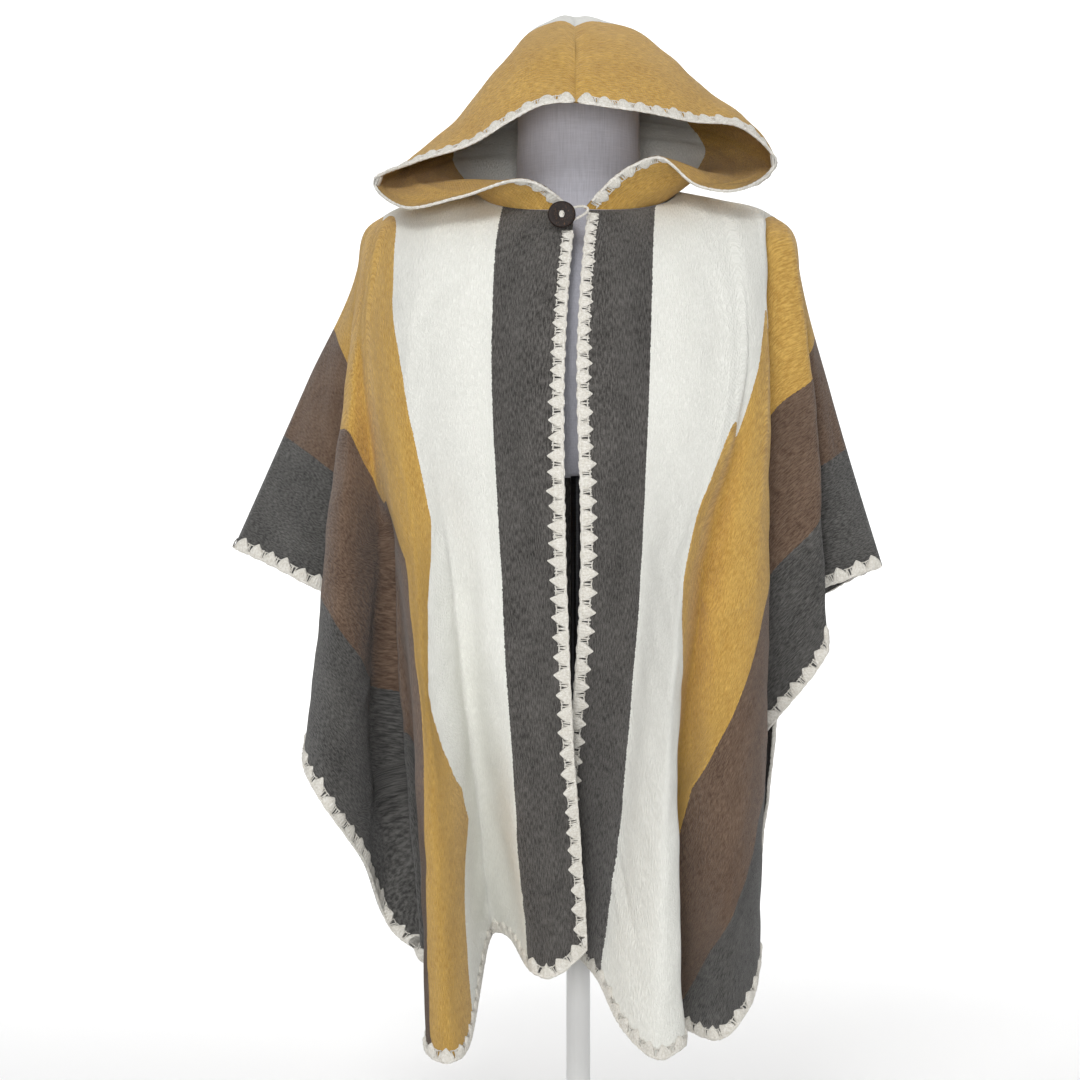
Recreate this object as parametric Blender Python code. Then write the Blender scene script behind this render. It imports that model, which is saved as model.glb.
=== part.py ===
"""A hooded ruana poncho, open at the front, draped on a limbless dress form with a pole and a round base.

Metres, +Z up. The origin is the middle of the base's underside, and the garment's front faces -Y.
The cloth is one woven rectangle, s metres across from its middle line and t metres along from the
shoulder line. Its folds are tables with a row for each ridge or valley: where the row starts on the
neckline or shoulder, where it passes the chest and the middle, and where it ends on the cloth's edge.
"""

import math

import bmesh
import bpy
import numpy as np
from mathutils import Vector

# The body cloth, flat.
CLOTH_THICK = 0.002
HALF_WIDTH = 0.585
HALF_LENGTH = 0.88
CORNER_RADIUS = 0.08
FRONT_CORNER_RADIUS = 0.025
NECK_DROP = 0.10
SEAM_GAP = 0.0004

# The crochet edging and the button.
TRIM_REACH = 0.015
TRIM_OVERHANG = 0.003
TRIM_THICK = 0.0026
TOUCH_GAP = 0.0005
BUTTON_RADIUS = 0.014
BUTTON_THICK = 0.0032
SHANK_RADIUS = 0.0028
SHANK_HEIGHT = 0.0050
LOOP_RADIUS = 0.00115
# The button's place on the right front, and the loop: which way it runs, its half sizes and how far
# its middle lies from the button's.
BUTTON_U = 0.024
BUTTON_W = 0.022
# Added to the cloth's normal, this turns the button's face forward.
BUTTON_FACING = Vector((0.0, -1.8, 0.0))
BUTTON_CLEARANCE = 0.002
# The thread draws the button up a little, over the neck seam.
BUTTON_RAISED = Vector((0.0, -0.004, 0.004))
LOOP_RUN = Vector((1.0, 0.0, 0.25))
LOOP_HALF_LONG = 0.0165
LOOP_HALF_WIDE = 0.0062
LOOP_SHIFT = 0.0105

# The dress form and its stand.
BASE_RADIUS = 0.16
BASE_THICK = 0.012
TUBE_RADIUS = 0.0125
ROD_RADIUS = 0.008
TUBE_TOP = 0.225
COLLAR_RADIUS = 0.017
COLLAR_HEIGHT = 0.022
FORM_BOTTOM = 0.700

# A row counts as crossing the edge at no less than this sine, when the edging's width is laid along it.
MOST_OBLIQUE = 0.25

# How finely the surfaces are cut.
PANEL_STEP = 0.052
PANEL_ROWS = (0.0, 0.038, 0.09, 0.15, 0.22, 0.33, 0.45, 0.58, 0.71, 0.84, 0.96, 1.0)
HOOD_DEPTH = 0.28
HOOD_STEPS_UP = 20
HOOD_STEPS_BACK = 9
FORM_SIDES = 28
# Below 1, the form's level sections are squarer than an ellipse.
FORM_SQUARE = 0.92

# The neckline and shoulder, from the middle to the shoulder's tip: distance outward, y, z.
FRONT_NECK = ((0.0, -0.096, 0.966), (0.045, -0.088, 0.966), (0.085, -0.057, 0.976), (0.105, -0.012, 0.995))
BACK_NECK = ((0.0, 0.092, 1.010), (0.055, 0.082, 1.008), (0.095, 0.045, 1.003), (0.105, -0.012, 0.995))
SHOULDER = ((0.105, -0.012, 0.995), (0.150, 0.000, 0.988), (0.193, 0.004, 0.978), (0.209, 0.004, 0.968))

# Stations along each fold row, as shares of its length.
CHEST_SHARE = 0.16
MIDDLE_SHARE = 0.50
SHOULDER_BULGE = 0.17
# The bulge is less beside the neck: this share of it at the slit, rising with the row's top share.
BULGE_AT_SLIT = 0.25
BULGE_RISE = 1.5
BULGE_OUT = 0.6
BULGE_UP = 0.8
# How far along the neckline from its middle each side's hood begins.
NECK_START = {-1: 0.004, 1: 0.009}
# How much more of a row's sideways bow lies in its upper half.
BOW_SKEW = 2.8

# edge: metres along the cloth's edge from the middle of the hem, round the corner and up the side.
# top: share of the way from the middle of the neck to the shoulder's tip. s_mid: s at the middle.
# x is the distance outward from the middle, on either side.
FOLD_COLUMNS = ("edge", "top", "s_mid", "xc", "yc", "zc", "xm", "ym", "xe", "ye", "ze")
RIGHT_FRONT = (
    # the edge beside the slit, the charcoal stripe and the white one
    (0.000, 0.018, 0.000, 0.015, -0.150, 0.850, 0.015, -0.163, -0.006, -0.160, 0.230),
    (0.064, 0.130, 0.042, 0.055, -0.147, 0.852, 0.046, -0.168, 0.034, -0.170, 0.204),
    (0.094, 0.310, 0.080, 0.085, -0.141, 0.855, 0.076, -0.170, 0.050, -0.158, 0.210),
    (0.129, 0.400, 0.112, 0.118, -0.135, 0.858, 0.100, -0.172, 0.069, -0.085, 0.230),
    (0.169, 0.500, 0.155, 0.150, -0.125, 0.864, 0.127, -0.150, 0.092, -0.040, 0.224),
    # the narrow forward fold
    (0.226, 0.660, 0.206, 0.178, -0.110, 0.872, 0.146, -0.172, 0.110, -0.185, 0.145),
    (0.274, 0.780, 0.252, 0.194, -0.096, 0.876, 0.159, -0.176, 0.124, -0.222, 0.133),
    (0.339, 0.860, 0.300, 0.205, -0.084, 0.878, 0.171, -0.162, 0.149, -0.198, 0.138),
    (0.434, 0.900, 0.338, 0.212, -0.075, 0.880, 0.181, -0.114, 0.130, -0.066, 0.172),
    # the rounded corner, the dark valley and the side fold
    (0.575, 0.925, 0.370, 0.216, -0.069, 0.880, 0.190, -0.094, 0.164, -0.062, 0.206),
    (0.685, 0.942, 0.385, 0.219, -0.063, 0.880, 0.203, -0.078, 0.200, -0.046, 0.244),
    (0.785, 0.954, 0.395, 0.222, -0.057, 0.882, 0.227, -0.108, 0.220, -0.095, 0.309),
    (0.885, 0.964, 0.392, 0.225, -0.050, 0.884, 0.240, -0.106, 0.258, -0.122, 0.372),
    (0.955, 0.972, 0.385, 0.227, -0.043, 0.887, 0.248, -0.088, 0.277, -0.098, 0.409),
    # the wing over the arm
    (1.125, 0.980, 0.385, 0.228, -0.031, 0.895, 0.228, -0.038, 0.205, -0.018, 0.530),
    (1.315, 0.990, 0.395, 0.230, -0.016, 0.912, 0.256, -0.026, 0.288, -0.038, 0.592),
    (1.445, 1.000, 0.400, 0.230, 0.002, 0.920, 0.282, 0.004, 0.360, 0.004, 0.625),
)
LEFT_FRONT = (
    # the edge beside the slit, tucked behind the other front, and the broad white fold
    (0.000, 0.036, 0.000, -0.001, -0.150, 0.850, 0.001, -0.158, -0.030, -0.075, 0.235),
    (0.064, 0.130, 0.042, 0.038, -0.148, 0.852, 0.032, -0.160, 0.000, -0.105, 0.215),
    (0.094, 0.290, 0.080, 0.067, -0.146, 0.855, 0.058, -0.162, 0.018, -0.140, 0.198),
    (0.139, 0.400, 0.130, 0.108, -0.140, 0.860, 0.077, -0.192, 0.042, -0.182, 0.156),
    (0.179, 0.520, 0.175, 0.136, -0.133, 0.864, 0.092, -0.212, 0.070, -0.212, 0.134),
    (0.226, 0.640, 0.202, 0.156, -0.122, 0.868, 0.100, -0.203, 0.098, -0.200, 0.142),
    # the valley behind it, and the front's outer part
    (0.339, 0.740, 0.232, 0.170, -0.112, 0.872, 0.118, -0.152, 0.078, -0.095, 0.160),
    (0.414, 0.820, 0.270, 0.180, -0.104, 0.874, 0.141, -0.165, 0.112, -0.118, 0.142),
    (0.480, 0.870, 0.300, 0.186, -0.096, 0.876, 0.164, -0.160, 0.137, -0.150, 0.140),
    (0.582, 0.905, 0.325, 0.189, -0.088, 0.878, 0.181, -0.142, 0.167, -0.140, 0.172),
    (0.665, 0.925, 0.340, 0.190, -0.078, 0.880, 0.189, -0.118, 0.178, -0.110, 0.206),
    # the deep valley under the arm and the fold over it
    (0.945, 0.945, 0.370, 0.181, -0.058, 0.882, 0.168, -0.050, 0.130, -0.020, 0.350),
    (1.085, 0.958, 0.400, 0.200, -0.056, 0.884, 0.200, -0.060, 0.201, -0.045, 0.446),
    (1.165, 0.970, 0.405, 0.224, -0.046, 0.886, 0.242, -0.048, 0.253, -0.050, 0.515),
    # the wing over the arm
    (1.290, 0.980, 0.400, 0.229, -0.026, 0.896, 0.226, -0.016, 0.206, 0.004, 0.560),
    (1.385, 0.990, 0.400, 0.231, -0.012, 0.908, 0.252, -0.012, 0.283, -0.012, 0.594),
    (1.445, 1.000, 0.400, 0.231, 0.002, 0.915, 0.263, 0.004, 0.318, 0.004, 0.606),
)
RIGHT_BACK = (
    # from the middle of the back out to the wing
    (0.000, 0.000, 0.000, 0.000, 0.132, 0.880, 0.000, 0.170, 0.000, 0.200, 0.188),
    (0.080, 0.250, 0.080, 0.075, 0.128, 0.880, 0.062, 0.158, 0.044, 0.148, 0.200),
    (0.170, 0.520, 0.165, 0.135, 0.118, 0.882, 0.122, 0.198, 0.105, 0.258, 0.186),
    (0.270, 0.700, 0.235, 0.168, 0.105, 0.884, 0.148, 0.128, 0.112, 0.108, 0.204),
    (0.390, 0.840, 0.305, 0.194, 0.088, 0.886, 0.186, 0.174, 0.178, 0.234, 0.184),
    (0.568, 0.900, 0.350, 0.208, 0.072, 0.888, 0.196, 0.112, 0.168, 0.085, 0.205),
    (0.760, 0.940, 0.385, 0.220, 0.058, 0.888, 0.236, 0.110, 0.226, 0.135, 0.320),
    (0.920, 0.965, 0.390, 0.227, 0.045, 0.890, 0.252, 0.088, 0.272, 0.128, 0.420),
    (1.130, 0.982, 0.385, 0.229, 0.031, 0.896, 0.232, 0.036, 0.215, 0.030, 0.535),
    (1.320, 0.991, 0.395, 0.230, 0.017, 0.910, 0.258, 0.030, 0.300, 0.052, 0.600),
    (1.431, 1.000, 0.400, 0.230, 0.002, 0.920, 0.282, 0.004, 0.360, 0.004, 0.625),
)
LEFT_BACK = (
    # from the middle of the back out to the wing
    (0.000, 0.000, 0.000, 0.000, 0.132, 0.880, 0.000, 0.170, 0.000, 0.200, 0.188),
    (0.100, 0.300, 0.095, 0.085, 0.127, 0.880, 0.078, 0.188, 0.058, 0.250, 0.186),
    (0.190, 0.560, 0.170, 0.142, 0.115, 0.882, 0.112, 0.130, 0.082, 0.104, 0.206),
    (0.320, 0.740, 0.250, 0.176, 0.101, 0.885, 0.152, 0.186, 0.136, 0.244, 0.184),
    (0.440, 0.860, 0.320, 0.198, 0.085, 0.886, 0.182, 0.116, 0.142, 0.096, 0.206),
    (0.585, 0.905, 0.350, 0.210, 0.071, 0.888, 0.205, 0.135, 0.190, 0.165, 0.212),
    (0.770, 0.945, 0.385, 0.221, 0.056, 0.888, 0.226, 0.090, 0.204, 0.128, 0.325),
    (0.950, 0.965, 0.390, 0.227, 0.044, 0.890, 0.232, 0.066, 0.212, 0.088, 0.430),
    (1.140, 0.982, 0.385, 0.229, 0.030, 0.896, 0.228, 0.034, 0.214, 0.036, 0.530),
    (1.330, 0.991, 0.395, 0.231, 0.016, 0.908, 0.255, 0.026, 0.284, 0.044, 0.588),
    (1.431, 1.000, 0.400, 0.231, 0.002, 0.915, 0.263, 0.004, 0.318, 0.004, 0.606),
)

# The hood, a row for each height up its rim: x, y, z of the rim's point, then of three more on the way
# to the middle of the back. x is the distance outward from the middle, on either side.
# The centre seam stands a little to the wearer's right of the middle, and the shift fades outward.
HOOD_MIDDLE_X = -0.0045
HOOD_SHIFT_REACH = 0.25
RIGHT_HOOD = (
    (0.004, -0.100, 0.972, 0.088, -0.060, 0.982, 0.098, 0.035, 1.006, 0.000, 0.096, 1.013),
    (0.049, -0.116, 0.994, 0.125, -0.050, 1.002, 0.115, 0.045, 1.030, 0.000, 0.108, 1.040),
    (0.118, -0.120, 0.977, 0.160, -0.045, 1.002, 0.125, 0.055, 1.045, 0.000, 0.112, 1.065),
    (0.172, -0.100, 0.969, 0.184, -0.030, 1.002, 0.130, 0.060, 1.056, 0.000, 0.113, 1.085),
    (0.208, -0.050, 1.002, 0.188, -0.005, 1.020, 0.125, 0.062, 1.066, 0.000, 0.113, 1.100),
    (0.163, -0.092, 1.015, 0.153, -0.030, 1.042, 0.112, 0.058, 1.080, 0.000, 0.110, 1.115),
    (0.103, -0.125, 1.029, 0.112, -0.045, 1.077, 0.090, 0.045, 1.104, 0.000, 0.102, 1.130),
    (0.063, -0.142, 1.050, 0.079, -0.055, 1.115, 0.066, 0.035, 1.133, 0.000, 0.094, 1.145),
    (0.036, -0.151, 1.062, 0.048, -0.066, 1.138, 0.043, 0.024, 1.166, 0.000, 0.087, 1.156),
    (0.000, -0.160, 1.064, 0.000, -0.083, 1.144, 0.000, 0.020, 1.188, 0.000, 0.080, 1.166),
)
LEFT_HOOD = (
    (0.013, -0.100, 0.972, 0.092, -0.060, 0.982, 0.103, 0.035, 1.006, 0.000, 0.096, 1.013),
    (0.054, -0.114, 1.008, 0.126, -0.050, 1.006, 0.120, 0.045, 1.032, 0.000, 0.108, 1.040),
    (0.080, -0.112, 1.018, 0.142, -0.045, 1.010, 0.128, 0.052, 1.046, 0.000, 0.112, 1.065),
    (0.121, -0.108, 0.990, 0.168, -0.036, 1.006, 0.134, 0.058, 1.056, 0.000, 0.113, 1.080),
    (0.151, -0.098, 0.986, 0.182, -0.022, 1.016, 0.134, 0.060, 1.064, 0.000, 0.113, 1.090),
    (0.200, -0.054, 1.024, 0.194, -0.008, 1.040, 0.130, 0.062, 1.076, 0.000, 0.113, 1.102),
    (0.168, -0.080, 1.050, 0.169, -0.028, 1.072, 0.118, 0.058, 1.092, 0.000, 0.110, 1.116),
    (0.114, -0.115, 1.052, 0.126, -0.045, 1.101, 0.100, 0.045, 1.118, 0.000, 0.102, 1.131),
    (0.066, -0.143, 1.057, 0.092, -0.055, 1.127, 0.080, 0.032, 1.144, 0.000, 0.094, 1.145),
    (0.030, -0.156, 1.060, 0.050, -0.067, 1.143, 0.050, 0.022, 1.172, 0.000, 0.087, 1.157),
    (0.000, -0.160, 1.064, 0.000, -0.083, 1.144, 0.000, 0.020, 1.188, 0.000, 0.080, 1.166),
)

# The form's level sections: z, half width, depth in front, depth behind.
FORM_SECTIONS = (
    (0.700, 0.132, 0.096, 0.078), (0.712, 0.138, 0.104, 0.084), (0.760, 0.142, 0.116, 0.090),
    (0.805, 0.148, 0.122, 0.095), (0.850, 0.156, 0.118, 0.099), (0.895, 0.168, 0.106, 0.100),
    (0.925, 0.178, 0.090, 0.090), (0.943, 0.180, 0.076, 0.078), (0.956, 0.172, 0.066, 0.068),
    (0.966, 0.152, 0.060, 0.062), (0.975, 0.122, 0.058, 0.060), (0.986, 0.088, 0.058, 0.060),
    (1.002, 0.069, 0.059, 0.061), (1.040, 0.064, 0.060, 0.061), (1.090, 0.063, 0.059, 0.060),
    (1.120, 0.059, 0.055, 0.056), (1.138, 0.049, 0.046, 0.047), (1.146, 0.036, 0.034, 0.034),
    (1.149, 0.018, 0.017, 0.017),
)

MATERIALS = {
    # name: red, green, blue, roughness, metallic
    "napped_cloth": (0.60, 0.47, 0.30, 0.95, 0.0),
    "hood_cloth": (0.56, 0.33, 0.10, 0.95, 0.0),
    "ivory_crochet": (0.85, 0.82, 0.76, 0.90, 0.0),
    "coconut_shell": (0.03, 0.014, 0.008, 0.35, 0.0),
    "form_fabric": (0.42, 0.42, 0.46, 0.90, 0.0),
    "white_enamel": (0.85, 0.85, 0.84, 0.35, 0.0),
    "dark_steel": (0.05, 0.05, 0.055, 0.40, 1.0),
}


def clear_scene():
    for obj in list(bpy.data.objects):
        bpy.data.objects.remove(obj, do_unlink=True)


def material(name):
    """The named material, made once."""
    found = bpy.data.materials.get(name)
    if found:
        return found
    red, green, blue, roughness, metallic = MATERIALS[name]
    found = bpy.data.materials.new(name)
    found.use_nodes = True
    shader = found.node_tree.nodes["Principled BSDF"]
    shader.inputs["Base Color"].default_value = (red, green, blue, 1.0)
    shader.inputs["Roughness"].default_value = roughness
    shader.inputs["Metallic"].default_value = metallic
    return found


def add_object(name, mesh, material_name, parent):
    """Links a mesh as a smooth, named object under the parent empty."""
    obj = bpy.data.objects.new(name, mesh)
    bpy.context.scene.collection.objects.link(obj)
    mesh.materials.append(material(material_name))
    mesh.shade_smooth()
    mesh.set_sharp_from_angle(angle=math.radians(50))
    obj.parent = parent
    return obj


def mesh_from(name, points, faces):
    mesh = bpy.data.meshes.new(name)
    mesh.from_pydata([tuple(map(float, p)) for p in points], [], faces)
    bm = bmesh.new()
    bm.from_mesh(mesh)
    bmesh.ops.triangulate(bm, faces=bm.faces[:])
    bmesh.ops.recalc_face_normals(bm, faces=bm.faces[:])
    bm.to_mesh(mesh)
    bm.free()
    return mesh


def spline(knots, values, at):
    """A smooth curve through values (one row for each knot), read at the given places."""
    knots = np.asarray(knots, float)
    values = np.asarray(values, float)
    at = np.asarray(at, float)
    slopes = np.diff(values, axis=0) / np.diff(knots)[:, None]
    gaps = np.diff(knots)[:, None]
    inner = (slopes[:-1] * gaps[1:] + slopes[1:] * gaps[:-1]) / (gaps[1:] + gaps[:-1])
    tangents = np.vstack([1.5 * slopes[:1] - 0.5 * inner[:1], inner, 1.5 * slopes[-1:] - 0.5 * inner[-1:]])
    i = np.clip(np.searchsorted(knots, at, side="right") - 1, 0, len(knots) - 2)
    span = (knots[i + 1] - knots[i])[:, None]
    f = (at - knots[i])[:, None] / span
    return (
        (2 * f**3 - 3 * f**2 + 1) * values[i]
        + (f**3 - 2 * f**2 + f) * span * tangents[i]
        + (3 * f**2 - 2 * f**3) * values[i + 1]
        + (f**3 - f**2) * span * tangents[i + 1]
    )


def arc_lengths(points):
    steps = np.linalg.norm(np.diff(np.asarray(points, float), axis=0), axis=1)
    return np.concatenate([[0.0], np.cumsum(steps)])


def top_line(neck, at):
    """Points on the neckline and shoulder at shares `at` of their length, and the cloth's (s, t) there."""
    at = np.asarray(at, float)
    neck_length = arc_lengths(neck)[-1]
    shoulder_length = arc_lengths(SHOULDER)[-1]
    place = at * (neck_length + shoulder_length)
    on_neck = spline(arc_lengths(neck), neck, np.minimum(place, neck_length))
    on_shoulder = spline(arc_lengths(SHOULDER), SHOULDER, np.maximum(place - neck_length, 0.0))
    beyond = (place > neck_length)[:, None]
    points = np.where(beyond, on_shoulder, on_neck)
    turn = np.minimum(place / neck_length, 1.0) * math.pi / 2
    neck_half_width = neck[-1][0]
    s = neck_half_width * np.sin(turn) + np.maximum(place - neck_length, 0.0)
    t = NECK_DROP * np.cos(turn)
    return points, s, t


def cloth_edge(at, front):
    """The cloth's (s, t) on its outer edge, `at` metres from the middle of the hem."""
    at = np.asarray(at, float)
    small = FRONT_CORNER_RADIUS if front else 0.0
    small_arc = small * math.pi / 2
    hem = HALF_WIDTH - CORNER_RADIUS - small
    arc = CORNER_RADIUS * math.pi / 2
    turn = np.clip(at / max(small_arc, 1e-9), 0.0, 1.0) * math.pi / 2 if front else 0.0
    s = small * (1 - np.cos(turn)) + np.clip(at - small_arc, 0.0, hem)
    t = HALF_LENGTH - small * (1 - np.sin(turn)) if front else np.full_like(at, HALF_LENGTH)
    turn = np.clip((at - small_arc - hem) / arc, 0.0, 1.0) * math.pi / 2
    s = s + CORNER_RADIUS * np.sin(turn)
    t = t - CORNER_RADIUS * (1 - np.cos(turn))
    t = t - np.maximum(at - small_arc - hem - arc, 0.0)
    return s, t


class Panel:
    """A draped part of the body cloth: side is -1 for the wearer's right and 1 for the left."""

    def __init__(self, table, neck, front, side):
        self.rows = dict(zip(FOLD_COLUMNS, np.array(table).T))
        self.neck = neck
        self.front = front
        self.side = side
        self.length = float(self.rows["edge"][-1])

    def surface(self, u, w):
        """Points, s and t at edge places u and shares w of the way down, as arrays of one shape."""
        shape = np.shape(u)
        u = np.ravel(u)
        w = np.ravel(w)
        rows = self.rows
        top = np.interp(u, rows["edge"], rows["top"])
        start, s_top, t_top = top_line(self.neck, top)
        stations = {}
        for name in ("s_mid", "xc", "yc", "zc", "xm", "ym", "xe", "ye", "ze"):
            stations[name] = spline(rows["edge"], rows[name][:, None], u)[:, 0]
        chest = np.stack([stations["xc"], stations["yc"], stations["zc"]], 1)
        end = np.stack([stations["xe"], stations["ye"], stations["ze"]], 1)
        drop = (MIDDLE_SHARE - CHEST_SHARE) / (1 - CHEST_SHARE)
        middle_z = chest[:, 2] + (end[:, 2] - chest[:, 2]) * drop
        middle = np.stack([stations["xm"], stations["ym"], middle_z], 1)
        outward = chest - start
        share = np.clip(BULGE_AT_SLIT + BULGE_RISE * top, 0.0, 1.0)[:, None]
        bulge = SHOULDER_BULGE * share * np.linalg.norm(outward, axis=1, keepdims=True)
        outward[:, 2] = 0.0
        outward /= np.linalg.norm(outward, axis=1, keepdims=True)
        round_off = (start + chest) / 2 + bulge * (BULGE_OUT * outward + np.array([0.0, 0.0, BULGE_UP]))
        knots = (0.0, CHEST_SHARE / 2, CHEST_SHARE, MIDDLE_SHARE, 1.0)
        ladder = np.stack([start, round_off, chest, middle, end])
        points = np.empty_like(start)
        for i, share in enumerate(w):
            points[i] = spline(knots, ladder[:, i], [share])[0]
        s_end, t_end = cloth_edge(u, self.front)
        bow = 4 * w * (1 - w) * (1 + BOW_SKEW * (0.5 - w)) * (stations["s_mid"] - (s_top + s_end) / 2)
        s = s_top + (s_end - s_top) * w + bow
        t = t_top + (t_end - t_top) * w
        points[:, 0] *= self.side
        if not self.front:
            points[:, 1] += SEAM_GAP
        return points.reshape(shape + (3,)), s.reshape(shape), t.reshape(shape)

    def normal(self, u, w):
        """Outward normals, level across the shoulder fold so that front and back meet along it."""
        step_u = 0.004
        step_w = 0.01
        u_low, u_high = np.maximum(u - step_u, 0.0), np.minimum(u + step_u, self.length)
        w_low, w_high = np.maximum(w - step_w, 0.0), np.minimum(w + step_w, 1.0)
        along = self.surface(u_high, w)[0] - self.surface(u_low, w)[0]
        down = self.surface(u, w_high)[0] - self.surface(u, w_low)[0]
        normal = np.cross(along, down) * (-self.side if self.front else self.side)
        top = np.interp(u, self.rows["edge"], self.rows["top"])
        neck_share = arc_lengths(self.neck)[-1] / (arc_lengths(self.neck)[-1] + arc_lengths(SHOULDER)[-1])
        on_fold = ((w < 1e-6) & (top >= neck_share - 1e-6)) | (u > self.length - 1e-6)
        normal[..., 1] = np.where(on_fold, 0.0, normal[..., 1])
        if not self.front:
            normal[..., 0] = np.where(u < 1e-6, 0.0, normal[..., 0])
        return normal / np.linalg.norm(normal, axis=-1, keepdims=True)

    def edge_places(self):
        """Edge places for the grid: every fold row, and steps between. The edging covers the first step."""
        places = [0.0, TRIM_REACH, FRONT_CORNER_RADIUS * math.pi / 2] if self.front else [0.0]
        knots = self.rows["edge"]
        first = 1 if self.front else 0
        places.extend(knots[first:first + 1] if self.front else [])
        for low, high in zip(knots[first:-1], knots[first + 1:]):
            count = max(1, round((high - low) / PANEL_STEP))
            places.extend(low + (high - low) * (k + 1) / count for k in range(count))
        return np.array(places)

    def inset(self, u):
        """The share of each row that lies under the edging, which is TRIM_REACH deep square to the edge."""
        step = 0.002
        _, s0, t0 = self.surface(u, np.zeros_like(u))
        s1, t1 = cloth_edge(u, self.front)
        s_low, t_low = cloth_edge(np.maximum(u - step, 0.0), self.front)
        s_high, t_high = cloth_edge(np.minimum(u + step, self.length), self.front)
        run = np.hypot(s_high - s_low, t_high - t_low)
        square = np.abs((s1 - s0) * (t_high - t_low) - (t1 - t0) * (s_high - s_low)) / run
        return TRIM_REACH / np.maximum(square, MOST_OBLIQUE)

    def grid(self):
        """Points and normals; the last row of cells, and a front's first column, lie under the edging."""
        u, w = np.meshgrid(self.edge_places(), np.array(PANEL_ROWS), indexing="ij")
        w[:, -2] = 1.0 - self.inset(u[:, -1])
        if self.front:
            u[1] = TRIM_REACH * (2.0 - w[1])
        return self.surface(u, w)[0], self.normal(u, w)


def shell(name, points, normals, cells, low, high, material_name, parent):
    """A closed wall over some cells of a grid, from `low` to `high` along the normals."""
    used = sorted({corner for cell in cells for corner in corners(cell)})
    index = {node: k for k, node in enumerate(used)}
    flat = [points[node] + normals[node] * high for node in used]
    flat += [points[node] + normals[node] * low for node in used]
    under = len(used)
    faces = []
    edges = {}
    for cell in cells:
        a, b, c, d = (index[node] for node in corners(cell))
        faces += [(a, b, c), (a, c, d), (under + a, under + c, under + b), (under + a, under + d, under + c)]
        for pair in ((a, b), (b, c), (c, d), (d, a)):
            if pair[::-1] in edges:
                del edges[pair[::-1]]
            else:
                edges[pair] = True
    faces += [(b, a, under + a, under + b) for a, b in edges]
    return add_object(name, mesh_from(name, flat, faces), material_name, parent)


def corners(cell):
    i, j = cell
    return (i, j), (i + 1, j), (i + 1, j + 1), (i, j + 1)


def cloth_wall(name, points, normals, material_name, parent):
    rows, columns = points.shape[:2]
    cells = [(i, j) for i in range(rows - 1) for j in range(columns - 1)]
    return shell(name, points, normals, cells, -CLOTH_THICK / 2, CLOTH_THICK / 2, material_name, parent)


def with_overhang(points, normals, axis):
    """The grid with one more line past the end of `axis`, carrying the edging over the cloth's edge."""
    points = np.moveaxis(points, axis, 0)
    normals = np.moveaxis(normals, axis, 0)
    beyond = points[-1] - points[-2]
    beyond = beyond / np.linalg.norm(beyond, axis=-1, keepdims=True)
    points = np.concatenate([points, points[-1:] + beyond * TRIM_OVERHANG])
    normals = np.concatenate([normals, normals[-1:]])
    return np.moveaxis(points, 0, axis), np.moveaxis(normals, 0, axis)


def edging(name, points, normals, parent, front_edge=False, gap=TOUCH_GAP):
    """The crochet's reach: a band over the last row of cells and, on a front, over its first column.

    A front's band starts one cell below the neck, which leaves room for the button and its loop.
    """
    points, normals = with_overhang(points, normals, 1)
    if front_edge:
        points, normals = with_overhang(points[::-1], normals[::-1], 0)
        points, normals = points[::-1], normals[::-1]
    rows, columns = points.shape[:2]
    cells = [(i, j) for i in range(rows - 1) for j in (columns - 3, columns - 2)]
    if front_edge:
        cells += [(i, j) for i in (0, 1) for j in range(1, columns - 3)]
    low = CLOTH_THICK / 2 + gap
    return shell(name, points, normals, cells, low, low + TRIM_THICK, "ivory_crochet", parent)


def rim_heights(table):
    """How far up the hood's rim each of its rows stands."""
    return arc_lengths(np.array(table)[:, :3])


def hood_surface(table, side, up, back):
    """Points of a hood half at shares `up` of its rim and `back` of the way behind."""
    shape = np.shape(up)
    up = np.ravel(up)
    back = np.ravel(back)
    heights = rim_heights(table)
    up = up * heights[-1]
    numbers = spline(heights, np.array(table), up).reshape(-1, 4, 3)
    knots = (0.0, 1 / 3, 2 / 3, 1.0)
    points = np.stack([spline(knots, numbers[i], [share])[0] for i, share in enumerate(back)])
    # Near its foot the hood follows the neckline, just above it.
    foot = np.stack([spline(knots, np.array(table[0]).reshape(4, 3), [share])[0] for share in back])
    points = points + (neckline(side, back) - foot) * np.clip(1 - up / heights[1], 0.0, 1.0)[:, None] ** 2
    points[:, 0] = points[:, 0] * side
    points[:, 0] += HOOD_MIDDLE_X * (1 - np.abs(points[:, 0]) / HOOD_SHIFT_REACH)
    return points.reshape(shape + (3,))


def hood_normal(table, side, up, back):
    """Outward normals of a hood half."""
    step_up = 0.012
    step_back = 0.02
    along = hood_surface(table, side, np.minimum(up + step_up, 1.0), back)
    along -= hood_surface(table, side, np.maximum(up - step_up, 0.0), back)
    behind = hood_surface(table, side, up, np.minimum(back + step_back, 1.0))
    behind -= hood_surface(table, side, up, np.maximum(back - step_back, 0.0))
    normals = np.cross(behind, along) * side
    return normals / np.linalg.norm(normals, axis=-1, keepdims=True)


def neckline(side, back):
    """The neck seam from the front's edge round to the middle of the back, in outward x, y, z."""
    front = np.array(FRONT_NECK)
    rear = np.array(BACK_NECK)[::-1]
    whole = np.concatenate([front, rear[1:]])
    lengths = arc_lengths(whole)
    start = NECK_START[side]
    place = start + (lengths[-1] - start) * np.asarray(back)
    points = spline(lengths, whole, place)
    points[:, 2] += CLOTH_THICK + SEAM_GAP
    return points


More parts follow.
